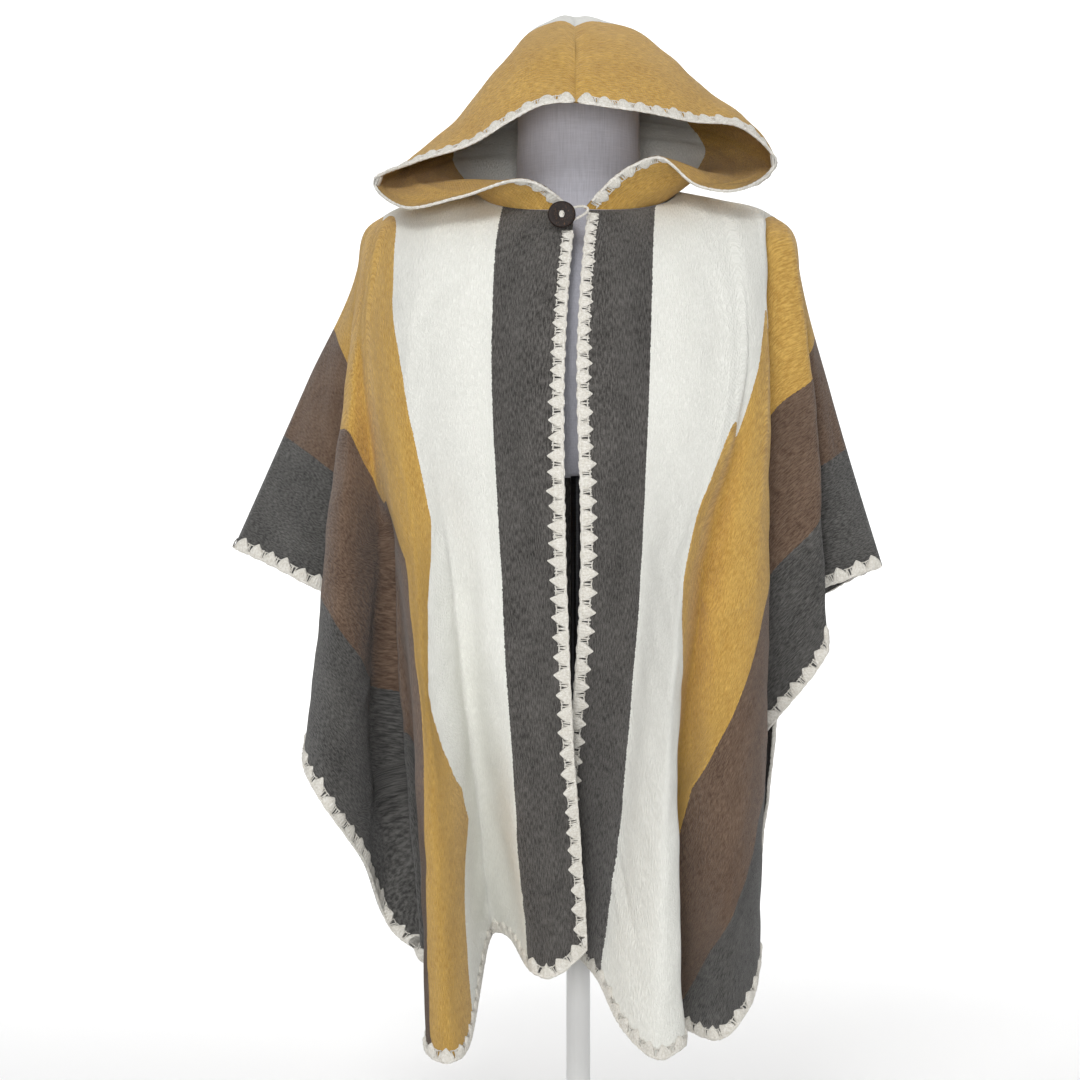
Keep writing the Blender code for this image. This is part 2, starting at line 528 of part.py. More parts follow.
def hood_half(name, table, side, parent):
    up, back = np.meshgrid(
        np.linspace(0.0, 1.0, HOOD_STEPS_UP), np.linspace(0.0, 1.0, HOOD_STEPS_BACK), indexing="ij"
    )
    back[:, 1] = TRIM_REACH / HOOD_DEPTH
    points = hood_surface(table, side, up, back)
    normals = hood_normal(table, side, up, back)
    # The halves meet in the plane of the centre seam, and their feet end square to the neckline.
    normals[-1, -1] = normals[-1, -2]
    normals[:, -1, 0] = 0.0
    normals[-1, :, 0] = 0.0
    normals /= np.linalg.norm(normals, axis=-1, keepdims=True)
    normals[0, :, 2] = 0.0
    normals /= np.linalg.norm(normals, axis=-1, keepdims=True)
    points[-1, :, 0] += side * SEAM_GAP / 2
    points[:-1, -1, 0] += side * SEAM_GAP / 2
    cloth_wall("hood_" + name, points, normals, "hood_cloth", parent)
    edging("edging_hood_" + name, points[1:-1, ::-1], normals[1:-1, ::-1], parent, gap=2 * TOUCH_GAP)


def form(parent):
    """The limbless bust: level sections, each a rounded oblong."""
    points = []
    for z, half_width, front, rear in FORM_SECTIONS:
        for k in range(FORM_SIDES):
            angle = 2 * math.pi * k / FORM_SIDES
            c, s = math.cos(angle), math.sin(angle)
            x = half_width * math.copysign(abs(c) ** FORM_SQUARE, c)
            depth = rear if s > 0 else front
            y = depth * math.copysign(abs(s) ** FORM_SQUARE, s)
            points.append((x, y, z))
    count = len(FORM_SECTIONS)
    faces = [tuple(range(FORM_SIDES))[::-1], tuple(range((count - 1) * FORM_SIDES, count * FORM_SIDES))]
    for i in range(count - 1):
        for k in range(FORM_SIDES):
            following = (k + 1) % FORM_SIDES
            low, high = i * FORM_SIDES, (i + 1) * FORM_SIDES
            faces.append((low + k, low + following, high + following, high + k))
    return add_object("dress_form", mesh_from("dress_form", points, faces), "form_fabric", parent)


def turned(name, profile, material_name, parent, sides=32):
    """A solid of revolution about Z from (radius, z) pairs; the ends close on the axis."""
    points = []
    for radius, z in profile:
        for k in range(sides):
            angle = 2 * math.pi * k / sides
            points.append((radius * math.cos(angle), radius * math.sin(angle), z))
    faces = [tuple(range(sides))[::-1], tuple(range((len(profile) - 1) * sides, len(profile) * sides))]
    for i in range(len(profile) - 1):
        for k in range(sides):
            following = (k + 1) % sides
            low, high = i * sides, (i + 1) * sides
            faces.append((low + k, low + following, high + following, high + k))
    return add_object(name, mesh_from(name, points, faces), material_name, parent)


def stand(parent):
    gap = 0.0003
    chamfer = 0.003
    turned(
        "stand_base",
        ((BASE_RADIUS, 0.0), (BASE_RADIUS, BASE_THICK - chamfer), (BASE_RADIUS - chamfer, BASE_THICK)),
        "white_enamel", parent, sides=48,
    )
    tube = ((TUBE_RADIUS, BASE_THICK + gap), (TUBE_RADIUS, TUBE_TOP))
    turned("stand_tube", tube, "white_enamel", parent, 24)
    collar_low = TUBE_TOP + gap
    collar_high = collar_low + COLLAR_HEIGHT
    turned(
        "stand_collar",
        ((COLLAR_RADIUS - chamfer, collar_low), (COLLAR_RADIUS, collar_low + chamfer),
         (COLLAR_RADIUS, collar_high - chamfer), (COLLAR_RADIUS - chamfer, collar_high)),
        "dark_steel", parent, 24,
    )
    rod = ((ROD_RADIUS, collar_high + gap), (ROD_RADIUS, FORM_BOTTOM - gap))
    turned("stand_rod", rod, "dark_steel", parent, 20)


def button_frame(panel):
    """The button's place on the right front just below the neck seam, and the way its face looks."""
    place_u, place_w = np.array([BUTTON_U]), np.array([BUTTON_W])
    point = panel.surface(place_u, place_w)[0][0]
    normal = panel.normal(place_u, place_w)[0]
    facing = (Vector(normal) + BUTTON_FACING).normalized()
    place = Vector(point) + Vector(normal) * (CLOTH_THICK / 2 + BUTTON_CLEARANCE) + BUTTON_RAISED
    return place, facing


def button(panel, parent):
    """A domed shell disc on a short shank, facing out from the cloth."""
    place, normal = button_frame(panel)
    base = TOUCH_GAP
    edge = 0.0008
    profile = (
        (SHANK_RADIUS, base), (SHANK_RADIUS, base + SHANK_HEIGHT),
        (BUTTON_RADIUS - edge, base + SHANK_HEIGHT),
        (BUTTON_RADIUS, base + SHANK_HEIGHT + edge),
        (BUTTON_RADIUS, base + SHANK_HEIGHT + BUTTON_THICK - edge),
        (BUTTON_RADIUS - edge, base + SHANK_HEIGHT + BUTTON_THICK),
        (BUTTON_RADIUS * 0.5, base + SHANK_HEIGHT + BUTTON_THICK - edge / 2),
    )
    obj = turned("button", profile, "coconut_shell", parent, 32)
    obj.rotation_mode = "QUATERNION"
    obj.rotation_quaternion = normal.to_track_quat("Z", "X")
    obj.location = place
    return obj


def button_loop(panel, parent):
    """A closed loop of cord round the shank, reaching across to the other front's edge."""
    place, normal = button_frame(panel)
    across = (LOOP_RUN - normal * normal.dot(LOOP_RUN)).normalized()
    upward = normal.cross(across)
    level = place + normal * (TOUCH_GAP + SHANK_HEIGHT / 2)
    curve = bpy.data.curves.new("button_loop", "CURVE")
    curve.dimensions = "3D"
    line = curve.splines.new("POLY")
    count = 24
    line.points.add(count - 1)
    for k in range(count):
        angle = 2 * math.pi * k / count
        along = LOOP_SHIFT + LOOP_HALF_LONG * math.cos(angle)
        point = level + across * along + upward * (LOOP_HALF_WIDE * math.sin(angle))
        line.points[k].co = (*point, 1.0)
    line.use_cyclic_u = True
    curve.bevel_depth = LOOP_RADIUS
    curve.bevel_resolution = 2
    obj = bpy.data.objects.new("button_loop", curve)
    bpy.context.scene.collection.objects.link(obj)
    curve.materials.append(material("ivory_crochet"))
    obj.parent = parent
    return obj


def main():
    clear_scene()
    root = bpy.data.objects.new("root", None)
    bpy.context.scene.collection.objects.link(root)
    right_front = Panel(RIGHT_FRONT, FRONT_NECK, True, -1)
    left_front = Panel(LEFT_FRONT, FRONT_NECK, True, 1)
    right_back = Panel(RIGHT_BACK, BACK_NECK, False, -1)
    left_back = Panel(LEFT_BACK, BACK_NECK, False, 1)
    for name, panel in (("right", right_front), ("left", left_front)):
        points, normals = panel.grid()
        cloth_wall("front_" + name, points, normals, "napped_cloth", root)
        edging("edging_front_" + name, points[:-1], normals[:-1], root, front_edge=True)
    right_points, right_normals = right_back.grid()
    left_points, left_normals = left_back.grid()
    points = np.concatenate([right_points[::-1], left_points[1:]])
    normals = np.concatenate([right_normals[::-1], left_normals[1:]])
    cloth_wall("back", points, normals, "napped_cloth", root)
    edging("edging_back", points[1:-1], normals[1:-1], root)
    hood_half("right", RIGHT_HOOD, -1, root)
    hood_half("left", LEFT_HOOD, 1, root)
    button(right_front, root)
    button_loop(right_front, root)
    form(root)
    stand(root)


main()
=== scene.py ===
"""The looks of the hooded ruana poncho on its dress form.

Brushed striped cloth, crochet edging, button, form and stand, in metres, +Z up, the front facing -Y.
The cloth's form comes from the same fold tables as its CAD solids, read more finely, with creases added
in the flat cloth's own coordinates: s across from its middle line and t along from the shoulder
line.
"""

import math

import bpy
import numpy as np
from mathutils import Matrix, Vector


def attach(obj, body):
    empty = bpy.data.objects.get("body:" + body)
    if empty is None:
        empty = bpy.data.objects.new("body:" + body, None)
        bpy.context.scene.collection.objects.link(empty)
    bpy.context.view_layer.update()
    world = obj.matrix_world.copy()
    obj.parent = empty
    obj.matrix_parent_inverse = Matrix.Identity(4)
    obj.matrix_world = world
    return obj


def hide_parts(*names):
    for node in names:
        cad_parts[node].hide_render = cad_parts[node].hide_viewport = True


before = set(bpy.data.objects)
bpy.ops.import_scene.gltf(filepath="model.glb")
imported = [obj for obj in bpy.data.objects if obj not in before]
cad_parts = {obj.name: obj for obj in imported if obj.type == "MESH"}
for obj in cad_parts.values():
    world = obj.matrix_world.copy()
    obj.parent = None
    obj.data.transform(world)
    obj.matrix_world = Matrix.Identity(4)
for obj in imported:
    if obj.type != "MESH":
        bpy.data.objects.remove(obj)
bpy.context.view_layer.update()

# The body cloth, flat.
CLOTH_THICK = 0.0018
HALF_WIDTH = 0.585
HALF_LENGTH = 0.88
CORNER_RADIUS = 0.08
FRONT_CORNER_RADIUS = 0.025
NECK_DROP = 0.10
SEAM_GAP = 0.0002

# How finely the surfaces are cut: the step along a panel's edge, then grid rows and columns.
PANEL_STEP = 0.0062
FRONT_ROWS = 176
BACK_ROWS = 98
HOOD_STEPS_UP = 150
HOOD_STEPS_BACK = 84

# The crochet edging: its shells, the cord under them and the strands between them.
SHELL_PITCH = 0.0198
FIRST_PITCH = 0.0128
PITCH_REACH = 0.22
SHELL_DEPTH = 0.0140
SHELL_HEIGHT = 0.0030
SHELL_FULL_WIDTH = 0.0175
SHELL_ACROSS = 17
SHELL_DOWN = 8
CORD_RADIUS = 0.0021
CORD_STEP = 0.0036
CORD_TWIST = 0.0066
STRANDS = 4
STRAND_GAP = 0.0019
THREAD_RADIUS = 0.0006
# Where the edging begins down each front's slit, and along the hood's rim.
SLIT_START = {"front_right": 0.037, "front_left": 0.006}
SLIT_END = 0.985
RIM_START = 0.012

# A hood half: its depth and rim on the cloth, and its flat size as cut.
HOOD_DEPTH = 0.28
HOOD_RIM = 0.52

# The button's place on the right front, the way it faces, and its disc.
BUTTON_U = 0.024
BUTTON_W = 0.022
BUTTON_FACING = Vector((0.0, -1.8, 0.0))
BUTTON_CLEARANCE = 0.002
BUTTON_RAISED = Vector((0.0, -0.004, 0.004))
BUTTON_RADIUS = 0.014
BUTTON_THICK = 0.0032
BUTTON_EDGE = 0.0009
SHANK_RADIUS = 0.0026
SHANK_TOP = 0.0055

# The button's loop: the way it runs, its half length and width, and its strands.
LOOP_RUN = Vector((1.0, 0.0, 0.25))
LOOP_HALF_LONG = 0.0165
LOOP_HALF_WIDE = 0.0062
LOOP_SHIFT = 0.0105
LOOP_POINTS = 260
LOOP_TWISTS = 17
LOOP_STRAND_RADIUS = 0.00085
LOOP_STRAND_OFF = 0.00065

# How square the form's level sections are: 1 is an ellipse.
FORM_SQUARE = 0.92

# The camera and the studio's floor, with the sweep up into its backdrop.
CAMERA_PLACE = (-0.04, -2.7, 0.633)
CAMERA_LENS = 86.0
SENSOR_WIDTH = 36.0
FLOOR_FRONT = -6.0
FLOOR_HALF_WIDTH = 9.0
FLOOR_DROP = 0.0005
SWEEP_START = 3.2
SWEEP_RADIUS = 1.6
BACKDROP_TOP = 6.0

# Stripes out from the middle line: the stripe's outer limit, then its darker and lighter fibres.
BODY_BANDS = (
    (0.080, (0.026, 0.024, 0.022), (0.150, 0.141, 0.132)),
    (0.210, (0.760, 0.760, 0.705), (0.880, 0.880, 0.825)),
    (0.340, (0.410, 0.226, 0.046), (0.700, 0.450, 0.120)),
    (0.460, (0.074, 0.043, 0.029), (0.220, 0.149, 0.103)),
    (0.600, (0.030, 0.029, 0.028), (0.150, 0.146, 0.138)),
)
# The real fronts' folds seem to hide more cloth than the modelled ones. On these two panels the outer
# limits of the white, mustard and brown stripes are therefore moved across the cloth, so that each shows
# where the photograph has it: depths below the shoulder line, then the limit's place across at each.
# A helper program looked these places up on the modelled cloth, and they were rounded and adjusted by
# hand from what it printed, so they fit these folds only.
SHOWN_LIMITS = {
    "front_right": (
        ((0.00, 0.14, 0.21, 0.29, 0.37, 0.445, 0.53, 0.55, 0.60, 0.655, 0.70, 0.79, 0.88),
         (0.21, 0.202, 0.175, 0.173, 0.180, 0.222, 0.245, 0.237, 0.202, 0.176, 0.168, 0.188, 0.200)),
        ((0.00, 0.20, 0.28, 0.36, 0.385, 0.40, 0.50, 0.55, 0.60, 0.68, 0.78, 0.88),
         (0.34, 0.344, 0.348, 0.340, 0.305, 0.278, 0.280, 0.263, 0.264, 0.277, 0.293, 0.300)),
        ((0.00, 0.39, 0.49, 0.61, 0.645, 0.67, 0.78, 0.88),
         (0.46, 0.469, 0.462, 0.455, 0.350, 0.300, 0.306, 0.320)),
    ),
    "front_left": (
        ((0.00, 0.20, 0.28, 0.35, 0.42, 0.50, 0.55, 0.635, 0.70, 0.88),
         (0.21, 0.202, 0.194, 0.185, 0.184, 0.205, 0.230, 0.270, 0.285, 0.300)),
        ((0.00, 0.14, 0.46, 0.51, 0.56, 0.605, 0.64, 0.70, 0.75, 0.88),
         (0.34, 0.352, 0.347, 0.342, 0.333, 0.317, 0.302, 0.302, 0.308, 0.335)),
        ((0.00, 0.21, 0.50, 0.65, 0.71, 0.76, 0.79, 0.83, 0.88),
         (0.46, 0.470, 0.475, 0.490, 0.483, 0.437, 0.406, 0.381, 0.358)),
    ),
}
# The hood's mustard stripe widens round the side and narrows at the top, as shares of its depth.
HOOD_STRIPE_SPREAD = 0.24
HOOD_TOP_RISE = 0.17
HOOD_BANDS = (
    (0.146, (0.420, 0.228, 0.042), (0.710, 0.445, 0.110)),
    (0.300, (0.740, 0.740, 0.700), (0.860, 0.860, 0.820)),
)

# Area lights: name, place, what they face, size, watts.
WORLD_STRENGTH = 0.32
LIGHTS = (
    ("key", (-0.7, -2.6, 2.6), (0.0, 0.0, 0.75), (1.0, 0.8), 37.0),
    ("front", (-0.2, -3.4, 0.9), (0.0, 0.0, 0.8), (1.0, 0.8), 36.0),
    ("side", (2.4, -1.4, 1.7), (0.0, 0.0, 0.6), (1.2, 1.6), 6.0),
    ("backdrop", (0.0, 2.2, 4.0), (0.0, 4.4, 0.8), (5.0, 1.5), 210.0),
)

# The neckline and shoulder, from the middle to the shoulder's tip: distance outward, y, z.
FRONT_NECK = ((0.0, -0.096, 0.966), (0.045, -0.088, 0.966), (0.085, -0.057, 0.976), (0.105, -0.012, 0.995))
BACK_NECK = ((0.0, 0.092, 1.010), (0.055, 0.082, 1.008), (0.095, 0.045, 1.003), (0.105, -0.012, 0.995))
SHOULDER = ((0.105, -0.012, 0.995), (0.150, 0.000, 0.988), (0.193, 0.004, 0.978), (0.209, 0.004, 0.968))

# Stations along each fold row, as shares of its length.
CHEST_SHARE = 0.16
MIDDLE_SHARE = 0.50
SHOULDER_BULGE = 0.17
BULGE_OUT = 0.6
BULGE_UP = 0.8
# The bulge is less beside the neck: this share of it at the slit, rising with the row's top share.
BULGE_AT_SLIT = 0.25
BULGE_RISE = 1.5
# How much more of a row's sideways bow lies in its upper half.
BOW_SKEW = 2.8

# edge: metres along the cloth's edge from the middle of the hem, round the corner and up the side.
# top: share of the way from the middle of the neck to the shoulder's tip. s_mid: s at the middle.
# x is the distance outward from the middle, on either side.
FOLD_COLUMNS = ("edge", "top", "s_mid", "xc", "yc", "zc", "xm", "ym", "xe", "ye", "ze")
RIGHT_FRONT = (
    # the edge beside the slit, the charcoal stripe and the white one
    (0.000, 0.018, 0.000, 0.015, -0.150, 0.850, 0.015, -0.163, -0.006, -0.160, 0.230),
    (0.064, 0.130, 0.042, 0.055, -0.147, 0.852, 0.046, -0.168, 0.034, -0.170, 0.204),
    (0.094, 0.310, 0.080, 0.085, -0.141, 0.855, 0.076, -0.170, 0.050, -0.158, 0.210),
    (0.129, 0.400, 0.112, 0.118, -0.135, 0.858, 0.100, -0.172, 0.069, -0.085, 0.230),
    (0.169, 0.500, 0.155, 0.150, -0.125, 0.864, 0.127, -0.150, 0.092, -0.040, 0.224),
    # the narrow forward fold
    (0.226, 0.660, 0.206, 0.178, -0.110, 0.872, 0.146, -0.172, 0.110, -0.185, 0.145),
    (0.274, 0.780, 0.252, 0.194, -0.096, 0.876, 0.159, -0.176, 0.124, -0.222, 0.133),
    (0.339, 0.860, 0.300, 0.205, -0.084, 0.878, 0.171, -0.162, 0.149, -0.198, 0.138),
    (0.434, 0.900, 0.338, 0.212, -0.075, 0.880, 0.181, -0.114, 0.130, -0.066, 0.172),
    # the rounded corner, the dark valley and the side fold
    (0.575, 0.925, 0.370, 0.216, -0.069, 0.880, 0.190, -0.094, 0.164, -0.062, 0.206),
    (0.685, 0.942, 0.385, 0.219, -0.063, 0.880, 0.203, -0.078, 0.200, -0.046, 0.244),
    (0.785, 0.954, 0.395, 0.222, -0.057, 0.882, 0.227, -0.108, 0.220, -0.095, 0.309),
    (0.885, 0.964, 0.392, 0.225, -0.050, 0.884, 0.240, -0.106, 0.258, -0.122, 0.372),
    (0.955, 0.972, 0.385, 0.227, -0.043, 0.887, 0.248, -0.088, 0.277, -0.098, 0.409),
    # the wing over the arm
    (1.125, 0.980, 0.385, 0.228, -0.031, 0.895, 0.228, -0.038, 0.205, -0.018, 0.530),
    (1.315, 0.990, 0.395, 0.230, -0.016, 0.912, 0.256, -0.026, 0.288, -0.038, 0.592),
    (1.445, 1.000, 0.400, 0.230, 0.002, 0.920, 0.282, 0.004, 0.360, 0.004, 0.625),
)
LEFT_FRONT = (
    # the edge beside the slit, tucked behind the other front, and the broad white fold
    (0.000, 0.036, 0.000, -0.001, -0.150, 0.850, 0.001, -0.158, -0.030, -0.075, 0.235),
    (0.064, 0.130, 0.042, 0.038, -0.148, 0.852, 0.032, -0.160, 0.000, -0.105, 0.215),
    (0.094, 0.290, 0.080, 0.067, -0.146, 0.855, 0.058, -0.162, 0.018, -0.140, 0.198),
    (0.139, 0.400, 0.130, 0.108, -0.140, 0.860, 0.077, -0.192, 0.042, -0.182, 0.156),
    (0.179, 0.520, 0.175, 0.136, -0.133, 0.864, 0.092, -0.212, 0.070, -0.212, 0.134),
    (0.226, 0.640, 0.202, 0.156, -0.122, 0.868, 0.100, -0.203, 0.098, -0.200, 0.142),
    # the valley behind it, and the front's outer part
    (0.339, 0.740, 0.232, 0.170, -0.112, 0.872, 0.118, -0.152, 0.078, -0.095, 0.160),
    (0.414, 0.820, 0.270, 0.180, -0.104, 0.874, 0.141, -0.165, 0.112, -0.118, 0.142),
    (0.480, 0.870, 0.300, 0.186, -0.096, 0.876, 0.164, -0.160, 0.137, -0.150, 0.140),
    (0.582, 0.905, 0.325, 0.189, -0.088, 0.878, 0.181, -0.142, 0.167, -0.140, 0.172),
    (0.665, 0.925, 0.340, 0.190, -0.078, 0.880, 0.189, -0.118, 0.178, -0.110, 0.206),
    # the deep valley under the arm and the fold over it
    (0.945, 0.945, 0.370, 0.181, -0.058, 0.882, 0.168, -0.050, 0.130, -0.020, 0.350),
    (1.085, 0.958, 0.400, 0.200, -0.056, 0.884, 0.200, -0.060, 0.201, -0.045, 0.446),
    (1.165, 0.970, 0.405, 0.224, -0.046, 0.886, 0.242, -0.048, 0.253, -0.050, 0.515),
    # the wing over the arm
    (1.290, 0.980, 0.400, 0.229, -0.026, 0.896, 0.226, -0.016, 0.206, 0.004, 0.560),
    (1.385, 0.990, 0.400, 0.231, -0.012, 0.908, 0.252, -0.012, 0.283, -0.012, 0.594),
    (1.445, 1.000, 0.400, 0.231, 0.002, 0.915, 0.263, 0.004, 0.318, 0.004, 0.606),
)
RIGHT_BACK = (
    # from the middle of the back out to the wing
    (0.000, 0.000, 0.000, 0.000, 0.132, 0.880, 0.000, 0.170, 0.000, 0.200, 0.188),
    (0.080, 0.250, 0.080, 0.075, 0.128, 0.880, 0.062, 0.158, 0.044, 0.148, 0.200),
    (0.170, 0.520, 0.165, 0.135, 0.118, 0.882, 0.122, 0.198, 0.105, 0.258, 0.186),
    (0.270, 0.700, 0.235, 0.168, 0.105, 0.884, 0.148, 0.128, 0.112, 0.108, 0.204),
    (0.390, 0.840, 0.305, 0.194, 0.088, 0.886, 0.186, 0.174, 0.178, 0.234, 0.184),
    (0.568, 0.900, 0.350, 0.208, 0.072, 0.888, 0.196, 0.112, 0.168, 0.085, 0.205),
    (0.760, 0.940, 0.385, 0.220, 0.058, 0.888, 0.236, 0.110, 0.226, 0.135, 0.320),
    (0.920, 0.965, 0.390, 0.227, 0.045, 0.890, 0.252, 0.088, 0.272, 0.128, 0.420),
    (1.130, 0.982, 0.385, 0.229, 0.031, 0.896, 0.232, 0.036, 0.215, 0.030, 0.535),
    (1.320, 0.991, 0.395, 0.230, 0.017, 0.910, 0.258, 0.030, 0.300, 0.052, 0.600),
    (1.431, 1.000, 0.400, 0.230, 0.002, 0.920, 0.282, 0.004, 0.360, 0.004, 0.625),
)
LEFT_BACK = (
    # from the middle of the back out to the wing
    (0.000, 0.000, 0.000, 0.000, 0.132, 0.880, 0.000, 0.170, 0.000, 0.200, 0.188),
    (0.100, 0.300, 0.095, 0.085, 0.127, 0.880, 0.078, 0.188, 0.058, 0.250, 0.186),
    (0.190, 0.560, 0.170, 0.142, 0.115, 0.882, 0.112, 0.130, 0.082, 0.104, 0.206),
    (0.320, 0.740, 0.250, 0.176, 0.101, 0.885, 0.152, 0.186, 0.136, 0.244, 0.184),
    (0.440, 0.860, 0.320, 0.198, 0.085, 0.886, 0.182, 0.116, 0.142, 0.096, 0.206),
    (0.585, 0.905, 0.350, 0.210, 0.071, 0.888, 0.205, 0.135, 0.190, 0.165, 0.212),
    (0.770, 0.945, 0.385, 0.221, 0.056, 0.888, 0.226, 0.090, 0.204, 0.128, 0.325),
    (0.950, 0.965, 0.390, 0.227, 0.044, 0.890, 0.232, 0.066, 0.212, 0.088, 0.430),
    (1.140, 0.982, 0.385, 0.229, 0.030, 0.896, 0.228, 0.034, 0.214, 0.036, 0.530),
    (1.330, 0.991, 0.395, 0.231, 0.016, 0.908, 0.255, 0.026, 0.284, 0.044, 0.588),
    (1.431, 1.000, 0.400, 0.231, 0.002, 0.915, 0.263, 0.004, 0.318, 0.004, 0.606),
)

# The hood, a row for each height up its rim: the rim's point, then three more on the way to the
# middle of the back. x is the distance outward from the centre seam's side of the middle.
HOOD_MIDDLE_X = -0.0045
RIGHT_HOOD = (
    (0.004, -0.100, 0.972, 0.088, -0.060, 0.982, 0.098, 0.035, 1.006, 0.000, 0.096, 1.013),
    (0.049, -0.116, 0.994, 0.125, -0.050, 1.002, 0.115, 0.045, 1.030, 0.000, 0.108, 1.040),
    (0.118, -0.120, 0.977, 0.160, -0.045, 1.002, 0.125, 0.055, 1.045, 0.000, 0.112, 1.065),
    (0.172, -0.100, 0.969, 0.184, -0.030, 1.002, 0.130, 0.060, 1.056, 0.000, 0.113, 1.085),
    (0.208, -0.050, 1.002, 0.188, -0.005, 1.020, 0.125, 0.062, 1.066, 0.000, 0.113, 1.100),
    (0.163, -0.092, 1.015, 0.153, -0.030, 1.042, 0.112, 0.058, 1.080, 0.000, 0.110, 1.115),
    (0.103, -0.125, 1.029, 0.112, -0.045, 1.077, 0.090, 0.045, 1.104, 0.000, 0.102, 1.130),
    (0.063, -0.142, 1.050, 0.079, -0.055, 1.115, 0.066, 0.035, 1.133, 0.000, 0.094, 1.145),
    (0.036, -0.151, 1.062, 0.048, -0.066, 1.138, 0.043, 0.024, 1.166, 0.000, 0.087, 1.156),
    (0.000, -0.160, 1.064, 0.000, -0.083, 1.144, 0.000, 0.020, 1.188, 0.000, 0.080, 1.166),
)
LEFT_HOOD = (
    (0.013, -0.100, 0.972, 0.092, -0.060, 0.982, 0.103, 0.035, 1.006, 0.000, 0.096, 1.013),
    (0.054, -0.114, 1.008, 0.126, -0.050, 1.006, 0.120, 0.045, 1.032, 0.000, 0.108, 1.040),
    (0.080, -0.112, 1.018, 0.142, -0.045, 1.010, 0.128, 0.052, 1.046, 0.000, 0.112, 1.065),
    (0.121, -0.108, 0.990, 0.168, -0.036, 1.006, 0.134, 0.058, 1.056, 0.000, 0.113, 1.080),
    (0.151, -0.098, 0.986, 0.182, -0.022, 1.016, 0.134, 0.060, 1.064, 0.000, 0.113, 1.090),
    (0.200, -0.054, 1.024, 0.194, -0.008, 1.040, 0.130, 0.062, 1.076, 0.000, 0.113, 1.102),
    (0.168, -0.080, 1.050, 0.169, -0.028, 1.072, 0.118, 0.058, 1.092, 0.000, 0.110, 1.116),
    (0.114, -0.115, 1.052, 0.126, -0.045, 1.101, 0.100, 0.045, 1.118, 0.000, 0.102, 1.131),
    (0.066, -0.143, 1.057, 0.092, -0.055, 1.127, 0.080, 0.032, 1.144, 0.000, 0.094, 1.145),
    (0.030, -0.156, 1.060, 0.050, -0.067, 1.143, 0.050, 0.022, 1.172, 0.000, 0.087, 1.157),
    (0.000, -0.160, 1.064, 0.000, -0.083, 1.144, 0.000, 0.020, 1.188, 0.000, 0.080, 1.166),
)

# The form's level sections: z, half width, depth in front, depth behind.
FORM_SECTIONS = (
    (0.700, 0.132, 0.096, 0.078), (0.712, 0.138, 0.104, 0.084), (0.760, 0.142, 0.116, 0.090),
    (0.805, 0.148, 0.122, 0.095), (0.850, 0.156, 0.118, 0.099), (0.895, 0.168, 0.106, 0.100),
    (0.925, 0.178, 0.090, 0.090), (0.943, 0.180, 0.076, 0.078), (0.956, 0.172, 0.066, 0.068),
    (0.966, 0.152, 0.060, 0.062), (0.975, 0.122, 0.058, 0.060), (0.986, 0.088, 0.058, 0.060),
    (1.002, 0.069, 0.059, 0.061), (1.040, 0.064, 0.060, 0.061), (1.090, 0.063, 0.059, 0.060),
    (1.120, 0.059, 0.055, 0.056), (1.138, 0.049, 0.046, 0.047), (1.146, 0.036, 0.034, 0.034),
    (1.149, 0.018, 0.017, 0.017),
)

